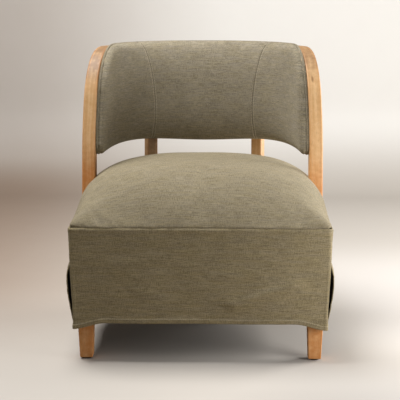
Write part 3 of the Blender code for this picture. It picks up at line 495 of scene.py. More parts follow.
def settle(obj, held, cap):
    """Runs the stuffing's push on a cover that is held at some points, and caps each point's move."""
    group = obj.vertex_groups.new(name="held")
    group.add([int(index) for index in np.flatnonzero(held)], 1.0, "REPLACE")
    before = points_of(obj.data)
    cloth = obj.modifiers.new("stuffing", "CLOTH")
    for key, value in STUFFING.items():
        setattr(cloth.settings, key, value)
    cloth.settings.effector_weights.gravity = 0.0
    cloth.point_cache.frame_start = 1
    cloth.point_cache.frame_end = STUFFING_FRAMES
    scene = bpy.context.scene
    for step in range(1, STUFFING_FRAMES + 1):
        scene.frame_set(step)
    settled = obj.evaluated_get(bpy.context.evaluated_depsgraph_get())
    after = points_of(settled.data)
    if len(after) != len(before) or not np.isfinite(after).all():
        raise RuntimeError(obj.name + ": the stuffing did not settle")
    obj.modifiers.remove(cloth)
    obj.vertex_groups.remove(group)
    scene.frame_set(1)
    move = after - before
    size = np.linalg.norm(move, axis=1, keepdims=True)
    move *= np.tanh(size / cap) * cap / np.maximum(size, 1e-9)
    move_points(obj, before + move)


def refine(obj):
    """Applies one subdivision."""
    cut = obj.modifiers.new("finer", "SUBSURF")
    cut.levels = 1
    cut.render_levels = 1
    fine = bpy.data.meshes.new_from_object(obj.evaluated_get(bpy.context.evaluated_depsgraph_get()))
    rough = obj.data
    obj.modifiers.remove(cut)
    obj.data = fine
    fine.name = obj.name
    bpy.data.meshes.remove(rough)


def thicken(obj, thickness):
    """Gives a sheet its thickness, inwards."""
    wall = obj.modifiers.new("cloth", "SOLIDIFY")
    wall.thickness = thickness
    wall.offset = -1.0
    return wall


STITCH_HALF = 0.36  # half of a stitch, as a share of its pitch
STITCH_FLAT = 0.8   # height of a stitch, as a share of its width


def stitches(shape, path, out, pitch, radius):
    """Sews a row of stitches along a path of points with their ways out."""
    run = run_of(path)
    half = STITCH_HALF * pitch
    for at in np.arange(pitch / 2, run[-1], pitch):
        start, middle, end = (Vector(on_path(at + shift, run, path)) for shift in (-half, 0.0, half))
        up = Vector(on_path(at, run, out)).normalized()
        along = (end - start).normalized()
        across = up.cross(along).normalized()
        up = along.cross(across)
        turn = Matrix((along, across, up)).transposed().to_4x4()
        size = Matrix.Diagonal(((end - start).length / 2, radius, radius * STITCH_FLAT, 1.0))
        place = Matrix.Translation(middle + up * radius * 0.5) @ turn @ size
        bmesh.ops.create_uvsphere(shape, u_segments=6, v_segments=4, radius=1.0,
                                  matrix=place @ Matrix.Rotation(math.pi / 2, 4, "Y"))


# Materials
class Wire:
    """A value in a material: sums on it add Math nodes, and node() adds any other kind."""

    def __init__(self, tree, socket=None):
        self.tree = tree
        self.socket = socket

    def node(self, kind, options=None, values=None, out=0):
        made = self.tree.nodes.new("ShaderNode" + kind)
        for key, value in (options or {}).items():
            setattr(made, key, value)
        for key, value in (values or {}).items():
            if isinstance(value, Wire):
                self.tree.links.new(value.socket, made.inputs[key])
            else:
                made.inputs[key].default_value = value
        return Wire(self.tree, made.outputs[out] if len(made.outputs) else None)

    def sum(self, operation, *values):
        return self.node("Math", {"operation": operation}, dict(enumerate(values)))

    def __add__(self, other):
        return self.sum("ADD", self, other)

    def __radd__(self, other):
        return self.sum("ADD", other, self)

    def __sub__(self, other):
        return self.sum("SUBTRACT", self, other)

    def __rsub__(self, other):
        return self.sum("SUBTRACT", other, self)

    def __mul__(self, other):
        return self.sum("MULTIPLY", self, other)

    def __rmul__(self, other):
        return self.sum("MULTIPLY", other, self)

    def __pow__(self, other):
        return self.sum("POWER", self, other)

    def sine(self):
        return self.sum("SINE", self)

    def away(self):
        return self.sum("ABSOLUTE", self)

    def step(self, low, high):
        """0 below low, 1 above high, smooth between."""
        return self.node("MapRange", {"interpolation_type": "SMOOTHSTEP"},
                         {"Value": self, "From Min": low, "From Max": high})

    def attribute(self, name):
        """What a piece keeps at its points under a name."""
        return self.node("Attribute", {"attribute_name": name}, out="Vector")

    def place(self):
        return self.node("TexCoord", out="Object")

    def parts(self):
        first = self.node("SeparateXYZ", None, {0: self})
        return [Wire(self.tree, socket) for socket in first.socket.node.outputs]

    def grains(self, scale, detail=2.0, rough=0.5):
        """Noise on these coordinates, stretched by a scale for each direction."""
        values = {"Vector": self.times(scale), "Scale": 1.0, "Detail": detail, "Roughness": rough}
        return self.node("TexNoise", {"noise_dimensions": "3D"}, values)

    def blend(self, first, second):
        """A colour between two, with this value as the share of the second."""
        return self.node("Mix", {"data_type": "RGBA"}, {0: self, 6: first, 7: second}, out=2)

    def times(self, other):
        """This colour or place multiplied by another."""
        return self.node("VectorMath", {"operation": "MULTIPLY"}, {0: self, 1: other})

    def bump(self, distance, strength=1.0):
        return self.node("Bump", None, {"Height": self, "Distance": distance, "Strength": strength})


def rgba(value):
    return (*value, 1.0)


def start_material(name):
    material = bpy.data.materials.new(name)
    material.use_nodes = True
    material.node_tree.nodes.clear()
    return material, Wire(material.node_tree)


def end_material(wires, values):
    shader = wires.node("BsdfPrincipled", None, values)
    wires.node("OutputMaterial", None, {"Surface": shader})


def ready(name, make):
    """A material by name, made once."""
    return bpy.data.materials.get(name) or make(name)


def linen(name):
    """Plain weave with thick places in its threads, both ways, a faint mottle, and a tint that is more
    golden on the skirt and greyer on the back.
    """
    look = settings().linen
    material, wires = start_material(name)
    weave = wires.attribute("weave")
    u, v, grey_tint = weave.parts()
    turns = math.tau / look.pitch
    checks = (u * turns).sine() * (v * turns).sine()
    long, thin = 1.0 / look.streak, 1.3 / look.pitch
    weft = weave.grains((long, thin, 1.0), 2.0, 0.6)
    warp = weave.grains((thin, long * 1.3, 1.0), 2.0, 0.6)
    fuzz = weave.grains((thin * 0.7, thin * 0.8, 1.0), 1.0, 0.5)
    slubs = weave.grains((long * 0.9, thin * 0.6, 1.0), 1.0, 0.5).step(0.62, 0.80)
    bars = weave.grains((15.0, 230.0, 1.0), 2.0, 0.6)
    mottle = weave.grains((16.0, 30.0, 1.0), 3.0, 0.6)
    dye = weave.grains((13.0, 120.0, 1.0), 3.0, 0.65).step(0.35, 0.65)
    threads = 1.25 * (weft - 0.5) + 1.05 * (warp - 0.5) + 1.2 * (fuzz - 0.5) + 0.6 * (bars - 0.5)
    tone = 0.5 + threads + 0.35 * (mottle - 0.5) + 0.05 * checks + 0.10 * slubs
    cloth = tone.step(0.05, 0.95).blend(rgba(look.dark), rgba(look.light))
    tint = dye.blend(rgba((0.99, 1.0, 1.04)), rgba((1.01, 1.0, 0.93)))
    # Tint by part: more golden where the third weave value is -1, greyer where it is 1.
    part_tint = grey_tint.step(-1.0, 1.0).blend(rgba((1.01, 1.0, 0.93)), rgba((0.98, 1.01, 1.10)))
    shade = cloth.times(tint).times(part_tint)
    height = 0.35 * checks + 0.9 * weft + 0.7 * warp + 0.5 * slubs
    end_material(wires, {"Base Color": shade, "Roughness": 0.84 + 0.14 * warp,
                         "Normal": height.bump(0.0007, 0.55), "Specular IOR Level": 0.18,
                         "Sheen Weight": 0.16, "Sheen Roughness": 0.45,
                         "Sheen Tint": rgba((0.75, 0.70, 0.58))})
    return material


PITH = (-0.011, 0.052)  # middle of the growth rings, across and through an oak stick
KNOT_STRETCH = 0.45     # width of a knot, as a share of its length


def oak(name):
    """Oiled oak: growth rings, fibres along the length and dark pores, with painted shade from the
    section's third value, a deep orange above nothing and brown below, and darker long edges, partly oil
    and partly painted shade.
    """
    look = settings().oak
    material, wires = start_material(name)
    grain = wires.attribute("grain")
    across, through, painted_shade = wires.attribute("section").parts()
    l, w, t = grain.parts()
    wander = grain.grains((2.6, 16.0, 16.0), 2.0, 0.5)
    side, deep = w - PITH[0], t - PITH[1]
    radius = (side * side + deep * deep) ** 0.5
    rings = 0.5 + 0.5 * ((radius + 0.030 * wander) * (math.tau / look.ring)).sine()
    fibre = grain.grains((9.0, 420.0, 420.0), 3.0, 0.6)
    band = grain.grains((3.0, 95.0, 95.0), 2.0, 0.5)
    flame = grain.grains((70.0, 45.0, 45.0), 3.0, 0.6)
    pores = grain.grains((70.0, 1500.0, 1500.0), 1.0, 0.5).step(0.60, 0.72) * (1.0 - 0.6 * rings)
    tone = 0.36 * rings + 0.8 * (fibre - 0.5) + 1.1 * (band - 0.5) + 1.3 * (flame - 0.5) + 0.30
    wood = tone.step(0.0, 1.0).blend(rgba(look.pale), rgba(look.warm))
    # Darker long edges: partly oil gathered on them, partly painted shade on the rounding.
    corner = (across * through).away() ** 4.0
    uneven = 0.7 + 0.6 * (flame - 0.5) + 0.3 * tone
    # Painted shade: a deep orange where the third section value is above nothing, brown where it is
    # below.
    deep_shaded = (painted_shade.step(0.0, 1.0) * uneven).blend(wood, rgba(look.deep))
    brown_shaded = ((0.0 - painted_shade).step(0.0, 1.0) * (uneven + 0.1)).blend(deep_shaded, rgba(look.brown))
    oil_and_shade_at_edges = (0.55 * corner).blend(brown_shaded, rgba(look.deep))
    along, beside = KNOT_STRETCH * (l - look.knot_along), t - look.knot_through
    knot = 1.0 - ((along * along + beside * beside) ** 0.5).step(0.0012, 0.0048)
    knotted = (0.75 * knot).blend(oil_and_shade_at_edges, rgba(look.pore))
    shade = (0.5 * pores).blend(knotted, rgba(look.pore))
    height = 0.4 * fibre + 0.25 * rings - 0.8 * pores
    end_material(wires, {"Base Color": shade, "Roughness": 0.40 + 0.16 * fibre + 0.1 * pores,
                         "Normal": height.bump(0.0004, 0.35), "Specular IOR Level": 0.4})
    return material


def sawn_wood(name, pale, dark, stretch):
    """Plain hidden timber, with its fibres along one way."""
    material, wires = start_material(name)
    place = wires.place()
    fibre = place.grains(stretch, 3.0, 0.6)
    flecks = place.grains(tuple(4.0 * s for s in stretch), 1.0).step(0.6, 0.75)
    wood = fibre.step(0.25, 0.8).blend(rgba(pale), rgba(dark))
    shade = (0.35 * flecks).blend(wood, rgba(np.array(dark) * 0.6))
    end_material(wires, {"Base Color": shade, "Roughness": 0.6 + 0.2 * fibre,
                         "Normal": fibre.bump(0.0004, 0.4)})
    return material


def beech(name):
    return sawn_wood(name, (0.66, 0.50, 0.33), (0.52, 0.36, 0.21), (70.0, 70.0, 70.0))


def plywood(name):
    """Thin veneers, seen as lines on the edges."""
    return sawn_wood(name, (0.64, 0.50, 0.33), (0.45, 0.32, 0.19), (30.0, 30.0, 420.0))


RIB_PITCH = 0.0024


def webbing(name):
    """Jute straps with ribs."""
    material, wires = start_material(name)
    place = wires.place()
    x, y, _ = place.parts()
    turns = math.tau / RIB_PITCH
    ribs = (x * turns).sine() * (y * turns).sine()
    fibre = place.grains((380.0, 380.0, 380.0), 2.0)
    tone = 0.5 + 0.25 * ribs + 0.9 * (fibre - 0.5)
    shade = tone.step(0.0, 1.0).blend(rgba((0.17, 0.13, 0.08)), rgba((0.40, 0.32, 0.21)))
    end_material(wires, {"Base Color": shade, "Roughness": 0.82 + 0.12 * fibre,
                         "Normal": (0.6 * ribs + fibre).bump(0.0006, 0.6)})
    return material


def speckled(name, grains, colours, rough, bump, ends=None, woven=False, fixed=None):
    """Two colours, roughness and bump from one noise; ends are where its colours are full."""
    material, wires = start_material(name)
    speck = (wires.attribute("weave") if woven else wires.place()).grains(*grains)
    share = speck.step(*ends) if ends else speck
    end_material(wires, {"Base Color": share.blend(*(rgba(colour) for colour in colours)),
                         "Roughness": rough[0] + rough[1] * speck, "Normal": speck.bump(*bump),
                         **(fixed or {})})
    return material


def lining(name):
    """Near-black cloth inside the skirt: painted shade for the dark seen through the open corners."""
    shade_black = np.array(settings().linen.lining)
    return speckled(name, ((260.0, 260.0, 1.0), 2.0), (shade_black * 0.6, shade_black * 1.5), (0.9, 0.08),
                    (0.0004, 0.4), woven=True, fixed={"Specular IOR Level": 0.1})


def thread(name):
    """Twisted sewing thread."""
    twist = np.array(settings().linen.thread)
    return speckled(name, ((1400.0, 1400.0, 900.0), 1.0), (twist * 0.8, twist), (0.7, 0.15),
                    (0.0003, 0.5))


def cambric(name):
    """Black non-woven cloth under the seat."""
    black = ((0.008, 0.008, 0.008), (0.035, 0.033, 0.030))
    return speckled(name, ((420.0, 420.0, 60.0), 3.0, 0.65), black, (0.82, 0.14), (0.0004, 0.6),
                    ends=(0.3, 0.75))


def steel(name):
    """Zinc plated steel with a faint spangle."""
    zinc = ((0.50, 0.50, 0.49), (0.66, 0.66, 0.64))
    return speckled(name, ((700.0, 700.0, 700.0), 2.0), zinc, (0.28, 0.2), (0.0002, 0.3),
                    fixed={"Metallic": 1.0})


def nylon(name):
    """Moulded dark nylon, scuffed where it meets the floor."""
    dark = ((0.030, 0.026, 0.022), (0.085, 0.075, 0.065))
    return speckled(name, ((240.0, 240.0, 240.0), 3.0, 0.6), dark, (0.42, 0.25), (0.0003, 0.4),
                    ends=(0.45, 0.85))


# Oak
def stick(size, rounding, cuts, place, seed, painted_shade):
    """A squared stick with rounded edges, cut across and bent by place(l, w, t).

    The last argument gives the painted shade at a height: above nothing how deep an orange, below
    nothing how brown. The seed says which part of the log it comes from.
    """
    shape = bmesh.new()
    bmesh.ops.create_cube(shape, size=1.0)
    bmesh.ops.translate(shape, verts=shape.verts, vec=(0.5, 0.0, 0.5))
    bmesh.ops.scale(shape, verts=shape.verts, vec=size)
    bmesh.ops.bevel(shape, geom=shape.edges[:], offset=rounding, segments=3, profile=0.5,
                    affect="EDGES", material=-1)
    for at in cuts:
        everything = shape.verts[:] + shape.edges[:] + shape.faces[:]
        bmesh.ops.bisect_plane(shape, geom=everything, dist=1e-6, plane_co=(at, 0, 0),
                               plane_no=(1, 0, 0))
    grain = shape.verts.layers.float_vector.new("grain")
    section = shape.verts.layers.float_vector.new("section")
    log = (1.7 * seed, 0.013 * math.sin(2.3 * seed), 0.017 * math.cos(1.9 * seed))
    flat = np.array([vert.co[:] for vert in shape.verts])
    for vert, (l, w, t), spot in zip(shape.verts, flat, place(*flat.T)):
        vert[grain] = (l + log[0], w + log[1], t + log[2])
        # The third section value is the painted shade at the point's height.
        vert[section] = (2.0 * w / size[1], 2.0 * t / size[2] - 1.0, painted_shade(spot[2]))
        vert.co = spot
    bmesh.ops.recalc_face_normals(shape, faces=shape.faces[:])
    return shape


def oak_piece(name, shape, node):
    obj = piece(name, shape, [ready("oiled_oak", oak)])
    obj.modifiers.new("flats", "WEIGHTED_NORMAL").keep_sharp = True
    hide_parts(node)


def even(start, end, pitch):
    """Places between two ends, about a pitch apart."""
    return list(np.linspace(start, end, max(2, round((end - start) / pitch) + 1)))[1:-1]


class CHAIR_OT_hoop(bpy.types.Operator):
    """Bent side posts, top rail and rear posts in oak"""
    bl_idname = "barrel_chair.hoop"
    bl_label = "Oak hoop"
    STRAIGHT, BENT, RAIL = 0.02, 0.006, 0.010  # distances between the cuts across
    LEAD = 0.01  # how far below the bend its closer cuts begin
    LEDGE = 0.0002  # height of the step where a post is halved
    # Painted shade up the side posts, by height: a deep orange low down near the seat, brown towards the
    # top.
    OIL_HEIGHTS = (0.40, 0.46, 0.52, 0.64, 0.70, 0.76)
    OIL_DEPTHS = (1.3, 0.70, 0.28, 0.03, -0.35, -1.0)
    OIL_LEAN = 0.25  # painted shade: how much more the left post gets, and the right post less
    # Painted shade on the rear posts, browner on the left and a deeper orange on the right, and brown on
    # the top rail.
    REAR_OIL, REAR_OIL_LEAN, RAIL_OIL = -0.15, 0.5, -0.85
    REAR_ROUNDING = 0.8  # of the rounding of the hoop
    POST_SEED, REAR_SEED, RAIL_SEED = 2.0, 5.0, 9.0

    def execute(self, context):
        chair = settings()
        hoop = chair.hoop
        barrel = Barrel(chair)
        line = hoop.top - hoop.width / 2
        rise = line - hoop.bend - hoop.bottom
        bend_length = hoop.bend * math.pi / 2
        joint_run = barrel.post_run - hoop.bend - hoop.joint_reach
        lap = hoop.rail_top - hoop.bottom
        full = rise + bend_length + hoop.joint_reach - hoop.joint_gap / 2

        def halved(thickness, t, height):
            thinned = hoop.lap + t * (thickness - hoop.lap) / thickness
            return np.where(height > hoop.rail_top, t, thinned)

        def post_spots(side, l, w, t):
            turn = np.clip((l - rise) / hoop.bend, 0.0, math.pi / 2)
            reach = hoop.bend + w
            past = np.maximum(0.0, l - rise - bend_length)
            run = barrel.post_run - hoop.bend + reach * np.cos(turn) - past
            height = np.where(l < rise, hoop.bottom + l, line - hoop.bend + reach * np.sin(turn))
            return barrel.spots(side * run, height, halved(hoop.thickness, t, height))

        def rear_spots(side, l, w, t):
            height = hoop.bottom + l
            return barrel.spots(side * barrel.rear_post_run + w, height,
                                halved(hoop.rear_thickness, t, height))

        def painted_shade(side, z):
            depth = float(np.interp(z, self.OIL_HEIGHTS, self.OIL_DEPTHS))
            return depth * (1.0 - self.OIL_LEAN * side)

        ledge = [lap, lap + self.LEDGE]
        cuts = ledge + even(lap, rise, self.STRAIGHT) + even(rise - self.LEAD, full, self.BENT)
        top = hoop.top - hoop.width - hoop.joint_gap - hoop.bottom
        rear_cuts = ledge + even(lap, top, self.STRAIGHT)
        for side, label in SIDES:
            shape = stick((full, hoop.width, hoop.thickness), hoop.rounding, cuts,
                          lambda l, w, t: post_spots(side, l, w, t), self.POST_SEED + side,
                          lambda z: painted_shade(side, z))
            oak_piece("oak_%s_side_post" % label, shape, "%s_side_post" % label)
            shape = stick((top, hoop.rear_width, hoop.rear_thickness),
                          hoop.rounding * self.REAR_ROUNDING, rear_cuts,
                          lambda l, w, t: rear_spots(side, l, w, t), self.REAR_SEED + side,
                          lambda z: self.REAR_OIL_LEAN * side + self.REAR_OIL)
            oak_piece("oak_%s_rear_post" % label, shape, "%s_rear_post" % label)
        rail = 2.0 * joint_run - hoop.joint_gap
        shape = stick((rail, hoop.width, hoop.thickness), hoop.rounding, even(0.0, rail, self.RAIL),
                      lambda l, w, t: barrel.spots(l - rail / 2, line + w, t), self.RAIL_SEED,
                      lambda z: self.RAIL_OIL)
        oak_piece("oak_top_rail", shape, "top_rail")
        return {"FINISHED"}


class CHAIR_OT_legs(bpy.types.Operator):
    """Tapered oak legs"""
    bl_idname = "barrel_chair.legs"
    bl_label = "Oak legs"
    PITCH = 0.03  # distance between the cuts across
    # Painted shade: the legs, under the chair, are painted a deeper orange.
    OIL = 0.78
    SEEDS = {"front": 12.0, "rear": 15.0}

    def execute(self, context):
        chair = settings()
        legs = chair.legs
        barrel = Barrel(chair)
        rear_run = barrel.run_at_width(chair.barrel.half_width - legs.rear_inset)
        for side, label in SIDES:
            for end, seed in self.SEEDS.items():
                node = "%s_%s_leg" % (end, label)
                low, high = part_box(node)
                middle = (low + high) / 2
                _, _, nx, ny = barrel.plan(side * rear_run)
                turn = 0.0 if end == "front" else math.atan2(ny, nx) - math.pi / 2

                def spots(l, w, t):
                    z = low.z + l
                    slim = np.interp(z, [low.z, legs.taper_top], [legs.foot / legs.size, 1.0])
                    x, y = w * slim, (t - legs.size / 2) * slim
                    c, s = math.cos(turn), math.sin(turn)
                    return np.stack([middle.x + c * x - s * y, middle.y + s * x + c * y, z], axis=-1)

                tall = high.z - low.z
                cuts = [legs.taper_top - low.z] + even(0.0, tall, self.PITCH)
                shape = stick((tall, legs.size, legs.size), legs.rounding, cuts, spots, seed + side,
                              lambda z: self.OIL)
                oak_piece("oak_" + node, shape, node)
        return {"FINISHED"}


# Back
class Pad:
    """Outline and thickness of the back pad."""
    THICK_SHARE = 0.6  # of the thick width, where the thinning begins
    EVEN, GATHERED = 0.55, 0.45  # shares of even columns, and of columns drawn towards the wings
    SEAM_CURVE = 1.7
    SEAM_TUCK, TUCK_TOP, TUCK_FALL = 0.010, 0.03, 0.045  # how the seams draw in below their bend

    def __init__(self, chair, barrel):
        self.sizes = chair.pad
        self.front_run = barrel.post_run + chair.hoop.width / 2 - self.sizes.setback
        self.thick_run = self.THICK_SHARE * barrel.run_at_width(self.sizes.thick_half_spacing)

    def span(self, run, inset):
        """Lowest and highest points at runs, drawn in by an inset."""
        s = self.sizes
        edge = np.clip(self.front_run - inset - np.abs(run), 0.0, self.front_run)
        part_way = np.abs(run) / self.front_run
        low = s.bottom_rear + (s.bottom_front - s.bottom_rear) * smooth(part_way) + inset
        low = low + s.bottom_lift * np.sin(math.pi * part_way) ** 2
        high = np.full_like(run, s.top - inset)

        def drop(radius):
            short = np.maximum(0.0, radius - edge)
            return radius - np.sqrt(np.maximum(0.0, radius ** 2 - short ** 2))

        return low + drop(s.bottom_corner - inset), high - drop(s.top_corner - inset)

    def depth(self, run, height):
        """Thickness over the shell: thick behind the lower back, thin at the wings."""
        s = self.sizes
        low, high = self.span(run, 0.0)
        wing = smooth((np.abs(run) - self.thick_run) / (self.front_run - self.thick_run))
        full = s.rear_thickness + (s.wing_thickness - s.rear_thickness) * wing
        beside = np.minimum(high - height, height - low)
        ahead = self.front_run - np.abs(run)

        def bulge(margin, width):
            return np.sqrt(1.0 - closeness(margin, width) ** 2)

        crown = bulge(beside, s.crown_round) * bulge(ahead, s.front_round)
        nose = bulge(np.minimum(beside, ahead), s.nose)
        return s.edge_thickness * nose + (full - s.edge_thickness) * crown

    def face(self, run, height):
        """Out of the cover's face."""
        s = self.sizes
        return -s.foam_outer - s.cloth - self.depth(run, height)

    def spot(self, u, v, inset):
        """Run and height at a point of the net, drawn in by an inset."""
        across = 2.0 * u - 1.0
        spread = self.EVEN * across + self.GATHERED * np.sin(across * math.pi / 2)
        run = (self.front_run - inset) * spread
        low, high = self.span(run, inset)
        return run, low + (high - low) * 0.5 * (1.0 - np.cos(math.pi * v))

    def seam(self, height):
        """Run of the curved seams at heights."""
        s = self.sizes
        part = np.clip((height - s.seam_bend) / (s.top - s.seam_bend), 0.0, 1.0)
        tuck = self.SEAM_TUCK * smooth((s.seam_bend + self.TUCK_TOP - height) / self.TUCK_FALL)
        return s.seam_low + (s.seam_high - s.seam_low) * part ** self.SEAM_CURVE - tuck


class CHAIR_OT_back_pad(bpy.types.Operator):
    """Stuffed linen back pad with two curved, double stitched seams"""
    bl_idname = "barrel_chair.back_pad"
    bl_label = "Back pad"
    RIM = 3  # rows of the net that turn round the edge
    RIM_SHARES, RIM_OUTS = (0.0, 0.34, 0.67), (-0.0037, -0.0074)  # the first out is the shell's
    RIM_CLOTH = 0.012  # width of the cloth that turns round the edge
    VALLEY, RIPPLE_REACH = 0.004, 0.018  # widths beside a seam
    RIPPLE, RIPPLE_SCALE, RIPPLE_SEED = 0.0006, 38.0, 3.0  # beside the seams
    HOLLOW, HOLLOW_SCALE, HOLLOW_SEED = 0.0012, 7.0, 8.0  # all over
    BACK_INSET, BACK_GAP = 0.0005, 0.0002  # of the pad's back, from the cover and from the shell
    EDGE = 1e-4  # of the net, that counts as its edge
    WELT_OUT, WELT_LIFT = -0.0052, 0.6  # lift from the channel, as a share of the radius
    WELT_PITCH, WELT_STEP, WELT_SIDES = 0.005, 0.003, 8
    STITCH_OFFSET, STITCH_LOW, STITCH_HIGH = 0.0046, 0.012, 0.004

    def execute(self, context):
        chair = settings()
        sizes = chair.pad
        barrel = Barrel(chair)
        pad = Pad(chair, barrel)
        columns, rows = sizes.columns + 2 * self.RIM, sizes.rows + 2 * self.RIM

        def core(fraction, count):
            return np.clip((fraction * count - self.RIM) / (count - 2 * self.RIM), 0.0, 1.0)

        def rim_of(u, v):
            return np.clip(np.minimum(to_end(u) * columns, to_end(v) * rows) / self.RIM, 0.0, 1.0)

        def place(u, v):
            share = rim_of(u, v)
            rim = share < 0.99
            run, height = pad.spot(core(u, columns), core(v, rows), np.where(rim, sizes.recess, 0.0))
            turned = np.interp(share, self.RIM_SHARES, (-sizes.shell_outer, *self.RIM_OUTS))
            out = np.where(rim, turned, pad.face(run, height))
            past = self.RIM_CLOTH * (1.0 - share)
            beside = to_end(u) * columns < to_end(v) * rows
            threads = threads_of(run + np.where(beside, np.sign(u - 0.5) * past, 0.0),
                                 height + np.where(beside, 0.0, np.sign(v - 0.5) * past), 1.0)
            return barrel.spots(run, height, out), threads

        shape, flat = net(columns, rows, place)
        u, v = core(flat[:, 0], columns), core(flat[:, 1], rows)
        run, height = pad.spot(u, v, 0.0)
        share = rim_of(flat[:, 0], flat[:, 1])
        face_out(shape, (0.0, 2.0, 0.65))
        obj = piece("back_pad", shape, [ready("olive_linen", linen)])
        beside = np.abs(np.abs(run) - pad.seam(height))
        settle(obj, (share < 1.0) | (beside < self.VALLEY), sizes.swell)
        points = points_of(obj.data)
        valley = sizes.seam_depth * np.exp(-(beside / self.VALLEY) ** 2) * (share >= 1.0)
        ripples = self.RIPPLE * drift(points, self.RIPPLE_SCALE, self.RIPPLE_SEED)
        ripples = ripples * np.exp(-beside / self.RIPPLE_REACH)
        ripples = ripples + self.HOLLOW * drift(points, self.HOLLOW_SCALE, self.HOLLOW_SEED)
        points += normals_of(obj.data) * ((ripples * smooth(share * 2.0 - 1.0) - valley)[:, None])
        move_points(obj, points)
        # The open cover's faces come in the same order each run, so it is sewn before it is closed
        self.sew(obj, barrel, pad)
        edge = np.minimum(to_end(flat[:, 0]), to_end(flat[:, 1])) < self.EDGE
        self.close(obj, barrel, pad, edge, u, v)
        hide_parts("back_front_cover", "back_foam")
        self.pipe(barrel, pad)
        return {"FINISHED"}

    def close(self, obj, barrel, pad, edge, u, v):
        """Adds the pad's back against the shell."""
        sizes = pad.sizes
        run, height = pad.spot(u, v, sizes.recess + self.BACK_INSET)
        out = np.where(edge, -sizes.shell_outer - self.BACK_GAP, -sizes.foam_outer)
        back = barrel.spots(run, height, out)
        shape = opened(obj)
        number = shape.verts.layers.int.new("number")
        for index, vert in enumerate(shape.verts):
            vert[number] = index
        made = bmesh.ops.extrude_face_region(shape, geom=shape.faces[:], use_keep_orig=True)
        for item in made["geom"]:
            if isinstance(item, bmesh.types.BMVert):
                item.co = back[item[number]]
        shape.verts.layers.int.remove(number)
        bmesh.ops.remove_doubles(shape, verts=shape.verts, dist=1e-6)
        bmesh.ops.dissolve_degenerate(shape, edges=shape.edges, dist=1e-6)
        put_back(shape, obj)

    def pipe(self, barrel, pad):
        """A welt in the channel round the pad."""
        sizes = pad.sizes
        t = np.linspace(0.0, 1.0, 400)[:-1]
        zero, one = np.zeros_like(t), np.ones_like(t)
        u, v = np.concatenate([(t, zero), (one, t), (1.0 - t, one), (zero, 1.0 - t)], axis=1)
        run, height = pad.spot(u, v, np.full_like(u, sizes.recess - self.WELT_LIFT * sizes.welt))
        path = barrel.spots(run, height, np.full_like(u, self.WELT_OUT))
        _, _, nx, ny = barrel.plan(run)
        ways = np.stack([nx, ny, np.zeros_like(nx)], axis=-1)
        path, ways = (np.concatenate([item, item[:1]]) for item in (path, ways))
        far = run_of(path)
        full = far[-1]

        def place(u, v):
            at = u * full
            way = on_path(at, far, ways)
            behind, ahead = (on_path((at + shift) % full, far, path)
                             for shift in (-self.WELT_STEP, self.WELT_STEP))
            side = unit(np.cross(unit(ahead - behind), way))
            turn = (v * math.tau)[:, None]
            spot = on_path(at, far, path) + sizes.welt * (np.cos(turn) * way + np.sin(turn) * side)
            return spot, threads_of(at, v * math.tau * sizes.welt, 1.0)

        shape, _ = net(int(full / self.WELT_PITCH), self.WELT_SIDES, place)
        bmesh.ops.remove_doubles(shape, verts=shape.verts, dist=1e-5)
        bmesh.ops.recalc_face_normals(shape, faces=shape.faces[:])
        obj = piece("back_pad_welt", shape, [ready("olive_linen", linen)])

    def sew(self, pad_obj, barrel, pad):
        """Two rows of stitches beside each curved seam."""
        skirt, sizes = settings().skirt, pad.sizes
        height = np.linspace(sizes.bottom_rear + self.STITCH_LOW, sizes.top - self.STITCH_HIGH, 120)
        shape = bmesh.new()
        for side in (-1, 1):
            for offset in (-self.STITCH_OFFSET, self.STITCH_OFFSET):
                run = side * (pad.seam(height) + offset)
                path, ways = [], []
                for spot in barrel.spots(run, height, pad.face(run, height)):
                    found, place, way, _ = pad_obj.closest_point_on_mesh(Vector(spot))
                    if not found:
                        raise RuntimeError("a seam misses the back pad")
                    path.append(place)
                    ways.append(way)
                stitches(shape, np.array(path), np.array(ways), skirt.stitch, sizes.seam_thread)
        obj = piece("back_pad_stitches", shape, [ready("linen_thread", thread)])


class CHAIR_OT_outside_back(bpy.types.Operator):
    """Linen stretched over the outside of the back"""
    bl_idname = "barrel_chair.outside_back"
    bl_label = "Outside back"
    COLUMNS, ROWS = 140, 44

    def execute(self, context):
        chair = settings()
        sizes = chair.pad
        barrel = Barrel(chair)
        pad = Pad(chair, barrel)

        def place(u, v):
            run, height = pad.spot(u, v, 0.0)
            spots = barrel.spots(run, height, np.full_like(run, -sizes.outside_gap))
            return spots, threads_of(run, height, 1.0)

        shape, _ = net(self.COLUMNS, self.ROWS, place)
        face_out(shape, (0.0, barrel.front + 0.25, 0.65))
        obj = piece("outside_back_linen", shape, [ready("olive_linen", linen)])
        thicken(obj, sizes.outside_cloth)
        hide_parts("outside_back_cover")
        sizes.top - sizes.bottom_front
        return {"FINISHED"}


# Seat
CORNER_POWER = 16  # more keeps the crown's own outline up to the seam's corners
HALVINGS = 44


